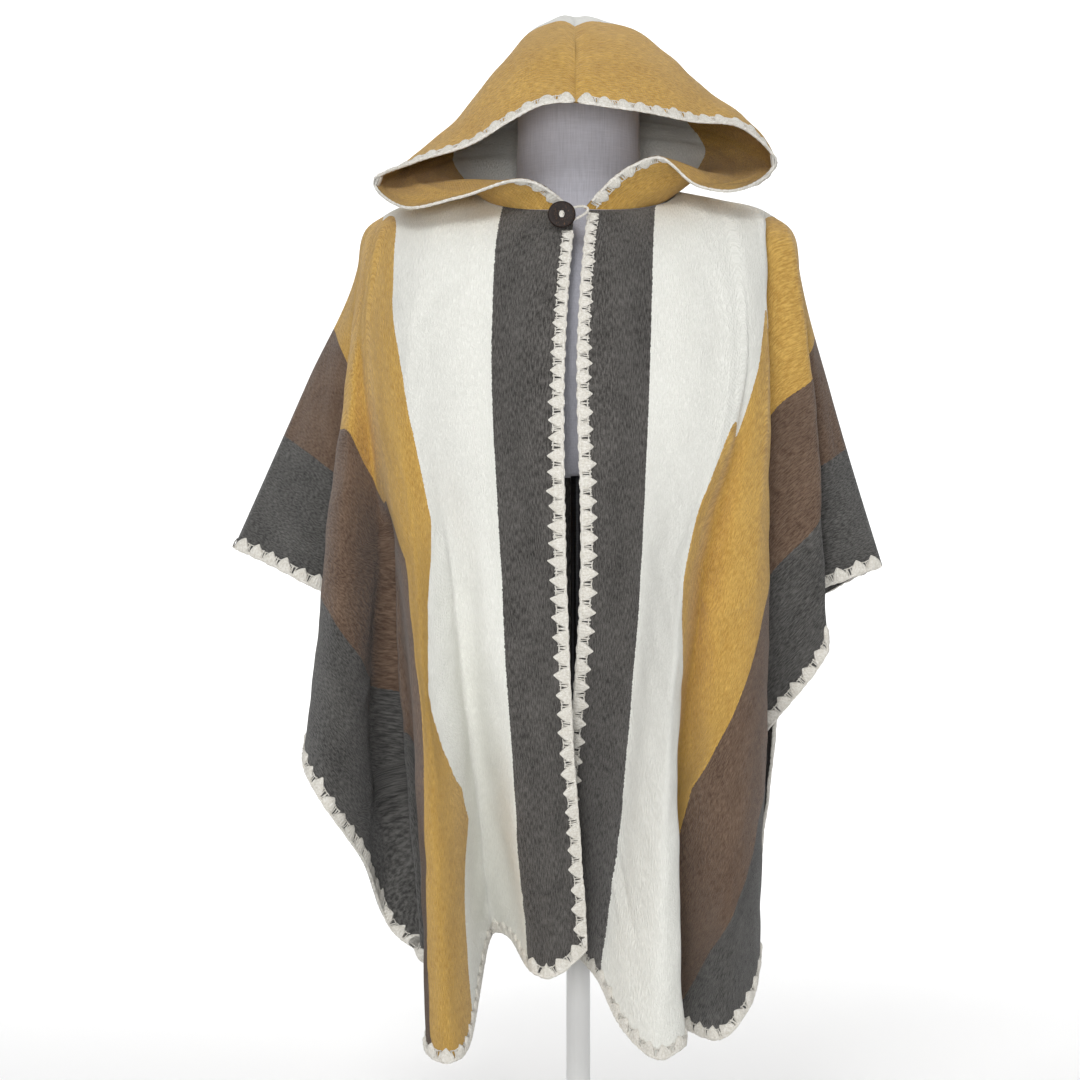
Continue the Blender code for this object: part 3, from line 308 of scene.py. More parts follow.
# Troughs (negative depth) and ridges in the cloth: panel, then both ends (s, t), half width and depth.
CREASE_COLUMNS = ("panel", "s0", "t0", "s1", "t1", "width", "depth")
CREASES = (
    ("front_right", 0.010, 0.795, 0.082, 0.806, 0.005, -0.0022),
    ("front_right", 0.012, 0.805, 0.080, 0.816, 0.004, 0.0010),
    ("front_right", 0.215, 0.300, 0.245, 0.620, 0.010, 0.0022),
    ("front_right", 0.150, 0.300, 0.140, 0.800, 0.020, 0.0055),
    ("front_right", 0.112, 0.400, 0.104, 0.850, 0.018, -0.0045),
    ("front_right", 0.360, 0.385, 0.560, 0.830, 0.019, -0.0360),
    ("front_right", 0.400, 0.420, 0.500, 0.560, 0.010, -0.0024),
    ("front_right", 0.430, 0.500, 0.560, 0.540, 0.008, 0.0020),
    ("front_right", 0.520, 0.620, 0.575, 0.700, 0.008, -0.0022),
    ("front_right", 0.250, 0.790, 0.290, 0.800, 0.004, -0.0012),
    ("front_right", 0.100, 0.140, 0.190, 0.200, 0.014, -0.0018),
    ("front_right", 0.040, 0.420, 0.075, 0.445, 0.010, -0.0012),
    ("front_left", 0.235, 0.440, 0.262, 0.462, 0.006, 0.0030),
    ("front_left", 0.262, 0.462, 0.300, 0.448, 0.005, 0.0030),
    ("front_left", 0.272, 0.470, 0.296, 0.492, 0.006, -0.0030),
    ("front_left", 0.240, 0.460, 0.250, 0.500, 0.005, -0.0024),
    ("front_left", 0.252, 0.440, 0.268, 0.436, 0.004, -0.0020),
    ("front_left", 0.020, 0.400, 0.075, 0.440, 0.012, -0.0016),
    ("front_left", 0.060, 0.760, 0.110, 0.800, 0.006, 0.0016),
    ("front_left", 0.075, 0.740, 0.130, 0.790, 0.006, -0.0018),
    ("front_left", 0.180, 0.200, 0.150, 0.420, 0.010, -0.0022),
    ("front_left", 0.360, 0.640, 0.470, 0.790, 0.012, -0.0022),
    ("front_left", 0.480, 0.180, 0.560, 0.240, 0.010, -0.0020),
    ("back", -0.020, 0.300, -0.060, 0.620, 0.012, -0.0020),
    ("back", 0.120, 0.200, 0.150, 0.560, 0.012, -0.0022),
    ("back", -0.260, 0.340, -0.300, 0.700, 0.010, 0.0022),
    ("back", 0.010, 0.780, 0.100, 0.795, 0.005, -0.0018),
    ("back", 0.330, 0.420, 0.420, 0.520, 0.010, -0.0024),
    ("back", -0.420, 0.500, -0.540, 0.560, 0.009, -0.0022),
    ("back", -0.100, 0.090, 0.110, 0.100, 0.016, -0.0018),
)

# Soft unevenness all over: wave length, height and direction, and a phase for each cloth.
CLOTH_WAVES = ((0.21, 0.0011, 0.4), (0.13, 0.0008, 1.3), (0.075, 0.00045, 2.2), (0.047, 0.0003, 0.9))
WAVE_SEEDS = {"front_right": 1.3, "front_left": 4.1, "back": 7.7}
HOOD_WAVES = ((0.11, 0.0010, 0.7), (0.06, 0.0006, 1.9))

# The hood's own marks, in metres behind the rim and half-metres up it.
HOOD_CREASES = (
    ("hood_left", 0.020, 0.150, 0.070, 0.175, 0.008, -0.0030),
    ("hood_left", 0.010, 0.200, 0.090, 0.225, 0.012, 0.0025),
    ("hood_left", 0.060, 0.300, 0.160, 0.260, 0.014, -0.0022),
    ("hood_right", 0.030, 0.120, 0.110, 0.150, 0.010, -0.0026),
    ("hood_right", 0.060, 0.290, 0.170, 0.240, 0.014, -0.0022),
)


def spline(knots, values, at):
    """A smooth curve through values (one row for each knot), read at the given places."""
    values = np.asarray(values, float)
    at = np.asarray(at, float)
    everywhere = np.broadcast_to(values[:, None, :], (len(values), len(at), values.shape[1]))
    return spline_each(knots, everywhere, at)


def spline_each(knots, values, at):
    """As spline, but values holds its own rows for each place: knots by places by numbers."""
    knots = np.asarray(knots, float)
    gaps = np.diff(knots)[:, None, None]
    slopes = np.diff(values, axis=0) / gaps
    inner = (slopes[:-1] * gaps[1:] + slopes[1:] * gaps[:-1]) / (gaps[1:] + gaps[:-1])
    first = 1.5 * slopes[:1] - 0.5 * inner[:1]
    last = 1.5 * slopes[-1:] - 0.5 * inner[-1:]
    tangents = np.concatenate([first, inner, last])
    i = np.clip(np.searchsorted(knots, at, side="right") - 1, 0, len(knots) - 2)
    place = np.arange(len(at))
    span = (knots[i + 1] - knots[i])[:, None]
    f = (at - knots[i])[:, None] / span
    return (
        (2 * f**3 - 3 * f**2 + 1) * values[i, place]
        + (f**3 - 2 * f**2 + f) * span * tangents[i, place]
        + (3 * f**2 - 2 * f**3) * values[i + 1, place]
        + (f**3 - f**2) * span * tangents[i + 1, place]
    )


def arc_lengths(points):
    steps = np.linalg.norm(np.diff(np.asarray(points, float), axis=0), axis=1)
    return np.concatenate([[0.0], np.cumsum(steps)])


def unit(vectors):
    return vectors / np.maximum(np.linalg.norm(vectors, axis=-1, keepdims=True), 1e-12)


def top_line(neck, at):
    """Points on the neckline and shoulder at shares `at` of their length, and the cloth's (s, t) there."""
    at = np.asarray(at, float)
    neck_length = arc_lengths(neck)[-1]
    shoulder_length = arc_lengths(SHOULDER)[-1]
    place = at * (neck_length + shoulder_length)
    on_neck = spline(arc_lengths(neck), neck, np.minimum(place, neck_length))
    on_shoulder = spline(arc_lengths(SHOULDER), SHOULDER, np.maximum(place - neck_length, 0.0))
    beyond = (place > neck_length)[:, None]
    points = np.where(beyond, on_shoulder, on_neck)
    turn = np.minimum(place / neck_length, 1.0) * math.pi / 2
    neck_half_width = neck[-1][0]
    s = neck_half_width * np.sin(turn) + np.maximum(place - neck_length, 0.0)
    t = NECK_DROP * np.cos(turn)
    return points, s, t


def cloth_edge(at, front):
    """The cloth's (s, t) on its outer edge, `at` metres from the middle of the hem."""
    at = np.asarray(at, float)
    small = FRONT_CORNER_RADIUS if front else 0.0
    small_arc = small * math.pi / 2
    hem = HALF_WIDTH - CORNER_RADIUS - small
    arc = CORNER_RADIUS * math.pi / 2
    turn = np.clip(at / max(small_arc, 1e-9), 0.0, 1.0) * math.pi / 2 if front else 0.0
    s = small * (1 - np.cos(turn)) + np.clip(at - small_arc, 0.0, hem)
    t = HALF_LENGTH - small * (1 - np.sin(turn)) if front else np.full_like(at, HALF_LENGTH)
    turn = np.clip((at - small_arc - hem) / arc, 0.0, 1.0) * math.pi / 2
    s = s + CORNER_RADIUS * np.sin(turn)
    t = t - CORNER_RADIUS * (1 - np.cos(turn))
    t = t - np.maximum(at - small_arc - hem - arc, 0.0)
    return s, t


class Panel:
    """A draped part of the body cloth: side is -1 for the wearer's right and 1 for the left."""

    def __init__(self, name, table, neck, front, side):
        self.name = name
        self.rows = dict(zip(FOLD_COLUMNS, np.array(table).T))
        self.neck = neck
        self.front = front
        self.side = side
        self.length = float(self.rows["edge"][-1])

    def base(self, u, w):
        """The smooth form, as the CAD has it: points, s and t at edge places u and shares w down."""
        rows = self.rows
        top = np.interp(u, rows["edge"], rows["top"])
        start, s_top, t_top = top_line(self.neck, top)
        names = ("s_mid", "xc", "yc", "zc", "xm", "ym", "xe", "ye", "ze")
        stations = spline(rows["edge"], np.stack([rows[name] for name in names], 1), u)
        chest = stations[:, 1:4]
        end = stations[:, 6:9]
        drop = (MIDDLE_SHARE - CHEST_SHARE) / (1 - CHEST_SHARE)
        middle_z = chest[:, 2] + (end[:, 2] - chest[:, 2]) * drop
        middle = np.stack([stations[:, 4], stations[:, 5], middle_z], 1)
        outward = chest - start
        share = np.clip(BULGE_AT_SLIT + BULGE_RISE * top, 0.0, 1.0)[:, None]
        bulge = SHOULDER_BULGE * share * np.linalg.norm(outward, axis=1, keepdims=True)
        outward[:, 2] = 0.0
        outward = unit(outward)
        round_off = (start + chest) / 2 + bulge * (BULGE_OUT * outward + np.array([0.0, 0.0, BULGE_UP]))
        knots = (0.0, CHEST_SHARE / 2, CHEST_SHARE, MIDDLE_SHARE, 1.0)
        points = spline_each(knots, np.stack([start, round_off, chest, middle, end]), w)
        s_end, t_end = cloth_edge(u, self.front)
        bow = 4 * w * (1 - w) * (1 + BOW_SKEW * (0.5 - w)) * (stations[:, 0] - (s_top + s_end) / 2)
        s = s_top + (s_end - s_top) * w + bow
        t = t_top + (t_end - t_top) * w
        points[:, 0] *= self.side
        return points, s, t

    def base_normal(self, u, w):
        """Outward normals, level across the shoulder fold so that front and back meet along it."""
        step_u = 0.004
        step_w = 0.01
        u_low, u_high = np.maximum(u - step_u, 0.0), np.minimum(u + step_u, self.length)
        w_low, w_high = np.maximum(w - step_w, 0.0), np.minimum(w + step_w, 1.0)
        along = self.base(u_high, w)[0] - self.base(u_low, w)[0]
        down = self.base(u, w_high)[0] - self.base(u, w_low)[0]
        normal = np.cross(along, down) * (-self.side if self.front else self.side)
        fold = self.on_fold(u, w)
        normal[:, 1] *= 1 - np.clip(1 - fold / 0.02, 0.0, 1.0) ** 2
        if not self.front:
            normal[:, 0] *= np.clip(u / 0.02, 0.0, 1.0)
        return unit(normal)

    def on_fold(self, u, w):
        """How far a place is from the shoulder fold, roughly, in metres along the cloth."""
        top = np.interp(u, self.rows["edge"], self.rows["top"])
        neck_length = arc_lengths(self.neck)[-1]
        neck_share = neck_length / (neck_length + arc_lengths(SHOULDER)[-1])
        down = np.hypot(w * 0.5, np.maximum(neck_share - top, 0.0) * 0.22)
        return np.minimum(down, self.length - u)

    def surface(self, u, w):
        """The finished middle surface and its normals: the smooth form with its creases and unevenness."""
        shape = np.shape(u)
        u = np.ravel(u)
        w = np.ravel(w)
        points, s, t = self.base(u, w)
        normals = self.base_normal(u, w)
        height = self.relief(s, t) * np.clip(self.on_fold(u, w) / 0.03, 0.0, 1.0)
        points = points + normals * height[:, None]
        return points.reshape(shape + (3,)), normals.reshape(shape + (3,)), s.reshape(shape), t.reshape(shape)

    def relief(self, s, t):
        """Creases and soft unevenness, as a height above the smooth form."""
        sign = self.side if self.name.startswith("back") else 1.0
        across = s * sign
        height = np.zeros_like(s)
        name = "back" if self.name.startswith("back") else self.name
        for row in CREASES:
            crease = dict(zip(CREASE_COLUMNS, row))
            if crease["panel"] == name:
                height += crease_height(crease, across, t)
        for length, amount, turn in CLOTH_WAVES:
            phase = WAVE_SEEDS[name] * turn * 5
            run = across * math.cos(turn) + t * math.sin(turn)
            cross = t * math.cos(turn * 1.7) - across * math.sin(turn * 1.7)
            ripple = np.sin(2 * math.pi * run / length + phase)
            height += amount * ripple * np.sin(2 * math.pi * cross / (length * 1.6) + 2 * phase)
        return height


def crease_height(crease, s, t):
    """A soft trough or ridge along one straight mark, fading at its ends."""
    run_s = crease["s1"] - crease["s0"]
    run_t = crease["t1"] - crease["t0"]
    length = math.hypot(run_s, run_t)
    along = ((s - crease["s0"]) * run_s + (t - crease["t0"]) * run_t) / length**2
    off = ((s - crease["s0"]) * run_t - (t - crease["t0"]) * run_s) / length
    bend = 0.06 * length * np.sin(math.pi * np.clip(along, 0.0, 1.0))
    middle = np.clip(along, 0.0, 1.0)
    beyond = np.abs(along - middle) * length
    width = crease["width"]
    fade = np.sin(math.pi * np.clip(0.08 + 0.84 * middle, 0.0, 1.0)) ** 0.6
    shape = np.exp(-(((off - bend) / width) ** 2) - (beyond / width) ** 2)
    return crease["depth"] * fade * shape


def grid_normals(points, flip):
    """Normals of a grid of points from the points beside each one."""
    along = np.gradient(points, axis=0)
    across = np.gradient(points, axis=1)
    return unit(np.cross(along, across) * flip)


def sheet_mesh(name, points, normals, u_map, v_map, thick):
    """A closed thin wall on both sides of a grid, with its flat coordinates as a UV map."""
    rows, columns = points.shape[:2]
    count = rows * columns
    sides = [points + normals * thick / 2, points - normals * thick / 2]
    vertices = np.concatenate([side.reshape(-1, 3) for side in sides])
    index = np.arange(count).reshape(rows, columns)
    outer = np.stack([index[:-1, :-1], index[1:, :-1], index[1:, 1:], index[:-1, 1:]], -1).reshape(-1, 4)
    # The faces turn so that their normals agree with the given ones.
    middle = len(outer) // 2
    corner = vertices[outer[middle]]
    turned = np.cross(corner[1] - corner[0], corner[2] - corner[0])
    facing = np.dot(turned, normals.reshape(-1, 3)[outer[middle][0]])
    if facing < 0:
        outer = outer[:, ::-1]
    inner = outer[:, ::-1] + count
    ring = np.concatenate([index[:-1, 0], index[-1, :-1], index[:0:-1, -1], index[0, :0:-1]])
    following = np.roll(ring, -1)
    wall = np.stack([following, ring, ring + count, following + count], 1)
    if facing < 0:
        wall = wall[:, ::-1]
    faces = np.concatenate([outer, inner, wall])
    mesh = mesh_from_arrays(name, vertices, faces)
    flat = np.stack([np.tile(u_map.ravel(), 2), np.tile(v_map.ravel(), 2)], 1)
    layer = mesh.uv_layers.new(name="flat_cloth")
    layer.data.foreach_set("uv", flat[faces.ravel()].ravel().astype(np.float32))
    both = np.concatenate([normals.reshape(-1, 3), -normals.reshape(-1, 3)])
    mesh.normals_split_custom_set_from_vertices(both.tolist())
    return mesh


def mesh_from_arrays(name, vertices, faces):
    """A smooth mesh of quads (or of triangles) from arrays."""
    mesh = bpy.data.meshes.new(name)
    corners = faces.shape[1]
    mesh.vertices.add(len(vertices))
    mesh.vertices.foreach_set("co", np.ascontiguousarray(vertices, np.float32).ravel())
    mesh.loops.add(len(faces) * corners)
    mesh.loops.foreach_set("vertex_index", np.ascontiguousarray(faces, np.int32).ravel())
    mesh.polygons.add(len(faces))
    mesh.polygons.foreach_set("loop_start", np.arange(0, len(faces) * corners, corners, dtype=np.int32))
    mesh.update(calc_edges=True)
    mesh.shade_smooth()
    return mesh


def add_piece(name, mesh, material, replaces=()):
    """Links a mesh as a piece that rides on the root and stands for the named CAD nodes."""
    obj = bpy.data.objects.new(name, mesh)
    bpy.context.scene.collection.objects.link(obj)
    mesh.materials.append(material)
    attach(obj, "root")
    if replaces:
        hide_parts(*replaces)
    return obj


def join_meshes(name, parts):
    """One mesh of quads from many (vertices, quads) parts."""
    vertices = []
    faces = []
    count = 0
    for points, quads in parts:
        vertices.append(points)
        faces.append(quads + count)
        count += len(points)
    return mesh_from_arrays(name, np.concatenate(vertices), np.concatenate(faces))


# ---------------------------------------------------------------- the body cloth

def panel_grid(panel):
    """Grid places over a panel, evenly spaced along its edge and down its rows."""
    count = round(panel.length / PANEL_STEP)
    rows = FRONT_ROWS if panel.front else BACK_ROWS
    return np.meshgrid(np.linspace(0.0, panel.length, count), np.linspace(0.0, 1.0, rows), indexing="ij")


def shown_stripes(name, s, t):
    """The stripes' coordinate: s, taken up in the folds so that each stripe's limit lies where it shows."""
    knots = [np.zeros_like(s), np.full_like(s, BODY_BANDS[0][0])]
    for depths, places in SHOWN_LIMITS[name]:
        knots.append(np.interp(t, depths, places))
    knots.append(np.full_like(s, HALF_WIDTH))
    flat = (0.0,) + tuple(band[0] for band in BODY_BANDS[:-1]) + (HALF_WIDTH,)
    shown = np.zeros_like(s)
    for low, high, flat_low, flat_high in zip(knots, knots[1:], flat, flat[1:]):
        share = np.clip((s - low) / np.maximum(high - low, 0.004), 0.0, 1.0)
        shown += share * (flat_high - flat_low)
    return shown


def cloth_front(panel, material):
    u, w = panel_grid(panel)
    points, base_normals, s, t = panel.surface(u, w)
    flip = -panel.side
    normals = grid_normals(points, flip)
    normals = match_fold(panel, u, w, normals, base_normals)
    stripes = shown_stripes(panel.name, s, t) * panel.side
    mesh = sheet_mesh("cloth_" + panel.name, points, normals, stripes, t, CLOTH_THICK)
    return add_piece("cloth_" + panel.name, mesh, material, (panel.name,))


def cloth_back(right, left, material):
    grids = []
    for panel in (right, left):
        u, w = panel_grid(panel)
        points, base_normals, s, t = panel.surface(u, w)
        grids.append([points, s * panel.side, -t, u, w, base_normals])
    joined = [np.concatenate([a[::-1], b[1:]]) for a, b in zip(*grids)]
    points, s, t, u, w, base_normals = joined
    normals = grid_normals(points, 1.0)
    normals = match_fold(right, u, w, normals, base_normals)
    mesh = sheet_mesh("cloth_back", points, normals, s, t, CLOTH_THICK)
    return add_piece("cloth_back", mesh, material, ("back",))


def match_fold(panel, u, w, normals, base_normals):
    """Near the shoulder fold the normals become the level ones that both sides share."""
    near = np.clip(1 - panel.on_fold(np.ravel(u), np.ravel(w)) / 0.01, 0.0, 1.0).reshape(u.shape)[..., None]
    aligned = np.where((normals * base_normals).sum(-1, keepdims=True) < 0, -normals, normals)
    return unit(aligned * (1 - near) + base_normals * near)


# ---------------------------------------------------------------- the hood

def rim_heights(table):
    """How far up the hood's rim each of its rows stands."""
    return arc_lengths(np.array(table)[:, :3])


def hood_surface(table, side, up, back):
    """Points of a hood half at shares `up` of its rim and `back` of the way behind."""
    shape = np.shape(up)
    up = np.ravel(up)
    back = np.ravel(back)
    heights = rim_heights(table)
    up = up * heights[-1]
    numbers = spline(heights, np.array(table), up).reshape(-1, 4, 3)
    knots = (0.0, 1 / 3, 2 / 3, 1.0)
    points = spline_each(knots, np.moveaxis(numbers, 0, 1), back)
    # Near its foot the hood follows the neckline, just above it.
    foot = spline(knots, np.array(table[0]).reshape(4, 3), back)
    points = points + (neckline(side, back) - foot) * np.clip(1 - up / heights[1], 0.0, 1.0)[:, None] ** 2
    points[:, 0] = points[:, 0] * side
    points[:, 0] += HOOD_MIDDLE_X * (1 - np.abs(points[:, 0]) / 0.25)
    return points.reshape(shape + (3,))


def hood_normal(table, side, up, back):
    """Outward normals of a hood half."""
    step_up = 0.012
    step_back = 0.02
    along = hood_surface(table, side, np.minimum(up + step_up, 1.0), back)
    along -= hood_surface(table, side, np.maximum(up - step_up, 0.0), back)
    behind = hood_surface(table, side, up, np.minimum(back + step_back, 1.0))
    behind -= hood_surface(table, side, up, np.maximum(back - step_back, 0.0))
    normals = np.cross(behind, along) * side
    return normals / np.linalg.norm(normals, axis=-1, keepdims=True)


def neckline(side, back):
    """The neck seam from the front's edge round to the middle of the back, in outward x, y, z."""
    front = np.array(FRONT_NECK)
    rear = np.array(BACK_NECK)[::-1]
    whole = np.concatenate([front, rear[1:]])
    lengths = arc_lengths(whole)
    start = 0.004 if side < 0 else 0.009
    place = start + (lengths[-1] - start) * np.asarray(back)
    points = spline(lengths, whole, place)
    points[:, 2] += CLOTH_THICK + SEAM_GAP
    return points


def hood_relief(side, up, back):
    """The centre seam's valley and the hood's own soft folds, as a height above the smooth form."""
    along = 1.0 - up
    behind = 1.0 - back
    seam = np.minimum(along * HOOD_RIM, behind * HOOD_DEPTH)
    height = -0.0042 * np.exp(-((seam / 0.0042) ** 2)) + 0.0014 * np.exp(-(((seam - 0.011) / 0.006) ** 2))
    for row in HOOD_CREASES:
        crease = dict(zip(CREASE_COLUMNS, row))
        if crease["panel"] == ("hood_left" if side > 0 else "hood_right"):
            height += crease_height(crease, back * HOOD_DEPTH, up * 0.5)
    for length, amount, turn in HOOD_WAVES:
        run = back * HOOD_DEPTH * math.cos(turn) + up * 0.5 * math.sin(turn)
        cross = up * 0.5 * math.cos(turn) - back * HOOD_DEPTH * math.sin(turn)
        ripple = np.sin(2 * math.pi * run / length + side)
        height += amount * ripple * np.sin(2 * math.pi * cross / (length * 1.4))
    fade = np.clip(back * HOOD_DEPTH / 0.012, 0.0, 1.0) * np.clip(up * 0.5 / 0.03, 0.0, 1.0)
    return height * fade


def hood_place(table, side, up, back):
    points = hood_surface(table, side, up, back)
    normals = hood_normal(table, side, up, back)
    points = points + normals * hood_relief(side, up, back)[..., None]
    return points, normals


def hood_piece(name, table, side, material):
    up, back = np.meshgrid(
        np.linspace(0.0, 1.0, HOOD_STEPS_UP), np.linspace(0.0, 1.0, HOOD_STEPS_BACK), indexing="ij"
    )
    points, base_normals = hood_place(table, side, up, back)
    points[-1, :, 0] = HOOD_MIDDLE_X
    points[:, -1, 0] = HOOD_MIDDLE_X
    normals = grid_normals(points, side)
    normals = np.where((normals * base_normals).sum(-1, keepdims=True) < 0, -normals, normals)
    normals[-1, :, 0] = 0.0
    normals[:, -1, 0] = 0.0
    normals[-1, -1] = (0.0, 0.5, 0.8)
    normals = unit(normals)
    spread = 1 - HOOD_STRIPE_SPREAD * np.sin(math.pi * np.clip(up, 0.0, 1.0)) ** 0.7
    spread += HOOD_TOP_RISE * np.clip((up - 0.75) / 0.25, 0.0, 1.0) ** 2
    behind = back * HOOD_DEPTH * spread
    mesh = sheet_mesh("hood_piece_" + name, points, normals, behind, up * HOOD_RIM * side, CLOTH_THICK)
    return add_piece("hood_piece_" + name, mesh, material, ("hood_" + name,))


# ---------------------------------------------------------------- the crochet edging

class Edge:
    """A line along a cloth's edge: places are metres along it and metres inward from it."""

    def __init__(self, surface, low, high):
        """surface(place, inward_share) gives points and normals; the line runs over places low to high."""
        self.surface = surface
        self.places = np.linspace(low, high, 600)
        self.zero = np.zeros_like(self.places)
        line = surface(self.places, self.zero)[0]
        self.lengths = arc_lengths(line)
        self.total = self.lengths[-1]
        inner = surface(self.places, self.zero + 0.01)[0]
        # Only the part of that step which is square to the edge counts.
        run = unit(np.gradient(line, axis=0))
        step = inner - line
        square = step - run * (step * run).sum(1, keepdims=True)
        self.slant = (step * run).sum(1) / np.maximum(np.linalg.norm(square, axis=1), 1e-6)
        self.per_share = np.linalg.norm(square, axis=1) / 0.01

    def at(self, along, inward, lift):
        """Points at metres along, inward and above the cloth's face, as flat arrays."""
        along = np.clip(along, 0.0, self.total)
        slant = np.interp(along, self.lengths, self.slant)
        inner = np.maximum(inward, 0.0)
        moved = np.clip(along - inner * np.clip(slant, -1.2, 1.2), 0.0, self.total)
        place = np.interp(moved, self.lengths, self.places)
        share = inner / np.interp(moved, self.lengths, self.per_share)
        points, normals = self.surface(place, share)
        # Past the edge the surface is carried straight on.
        step = 0.003
        further = self.surface(place, share + step / np.interp(moved, self.lengths, self.per_share))[0]
        outward = unit(points - further)
        points = points + outward * np.maximum(-inward, 0.0)[:, None]
        return points + normals * (lift + CLOTH_THICK / 2)[:, None]


def crochet_shell(rng, centre, width, depth, tilt):
    """One shell of the edging, a ribbed, domed fan, as (along, inward, lift) points and quads."""
    p, q = np.meshgrid(np.linspace(-1.0, 1.0, SHELL_ACROSS), np.linspace(0.0, 1.0, SHELL_DOWN), indexing="ij")
    spread = np.sin(np.minimum(q * 1.18, 1.0) * math.pi / 2) ** 0.95
    half = width * (0.070 + rng.uniform(0.385, 0.410) * spread)
    tip = depth * (1 - 0.05 * np.abs(p) ** 2)
    base = 0.0004 - 0.0024 * (1 - np.abs(p) ** 2) ** 0.8
    inward = tip + (base - tip) * q
    along = centre + p * half + tilt * inward
    ribs = 0.5 + 0.5 * np.cos(2 * math.pi * 2.5 * p + rng.uniform(-0.4, 0.4))
    stitches = 0.5 + 0.5 * np.cos(2 * math.pi * (q * 3.3 + 0.25 * np.abs(p)) + rng.uniform(0, 1.5))
    dome = (1 - np.abs(p) ** 3.0) ** 0.5
    rise = np.sin(np.clip(q / 0.30, 0.0, 1.0) * math.pi / 2) ** 0.6
    rise = rise * (1 - 0.45 * np.clip((q - 0.45) / 0.55, 0, 1) ** 2)
    height = rng.uniform(0.90, 1.12) * SHELL_HEIGHT
    lift = height * dome * rise
    lift = lift * (0.60 + 0.40 * ribs) * (0.86 + 0.14 * stitches)
    lift[:, -1] = 0.0002
    lift[:, 0] = 0.0
    lift[0] = 0.0
    lift[-1] = 0.0
    top = np.stack([along, inward, lift], -1).reshape(-1, 3)
    index = np.arange(SHELL_ACROSS * SHELL_DOWN).reshape(SHELL_ACROSS, SHELL_DOWN)
    a, b = index[:-1, :-1].ravel(), index[1:, :-1].ravel()
    c, d = index[1:, 1:].ravel(), index[:-1, 1:].ravel()
    # The underside joins the two sides, then the base and the tip, so that the shell is closed.
    left, right = index[0], index[-1]
    under = [np.stack([a, b, c, d], 1), np.stack([left[:-1], left[1:], right[1:], right[:-1]], 1)]
    middle = SHELL_ACROSS // 2
    for line, turn in ((index[:, -1], -1), (index[:, 0], 1)):
        other = line[::-1]
        closing = [line[:middle], line[1:middle + 1], other[1:middle + 1], other[:middle]]
        under.append(np.stack(closing, 1)[:, ::turn])
    return top, np.concatenate(under)


def tube(line, radius, sides=5, closed=False):
    """Points and quads of a round cord along a line of points in any coordinates with equal units."""
    line = np.asarray(line, float)
    run = unit(np.gradient(line, axis=0))
    if closed:
        run = unit(np.roll(line, -1, 0) - np.roll(line, 1, 0))
    guide = np.zeros_like(run)
    guide[:, 2] = 1.0
    guide[np.abs(run[:, 2]) > 0.9] = (0.0, 1.0, 0.0)
    side = unit(np.cross(run, guide))
    up = np.cross(side, run)
    radius = np.broadcast_to(radius, len(line))
    turn = 2 * math.pi * np.arange(sides) / sides
    around = side[:, None] * np.cos(turn)[:, None] + up[:, None] * np.sin(turn)[:, None]
    ring = line[:, None] + radius[:, None, None] * around
    count = len(line)
    index = np.arange(count * sides).reshape(count, sides)
    steps = count if closed else count - 1
    quads = []
    for k in range(sides):
        now = index[:, k]
        beside = index[:, (k + 1) % sides]
        later, later_beside = np.roll(now, -1), np.roll(beside, -1)
        quads.append(np.stack([now, later, later_beside, beside], 1)[:steps])
    quads = np.concatenate(quads)
    points = ring.reshape(-1, 3)
    if not closed:
        ends = [points, line[:1], line[-1:]]
        first, last = len(points), len(points) + 1
        points = np.concatenate(ends)
        caps = []
        for k in range(0, sides - 1, 2):
            caps.append((first, index[0, (k + 2) % sides], index[0, k + 1], index[0, k]))
            caps.append((last, index[-1, k], index[-1, k + 1], index[-1, (k + 2) % sides]))
        quads = np.concatenate([quads, np.array(caps)])
    return points, quads


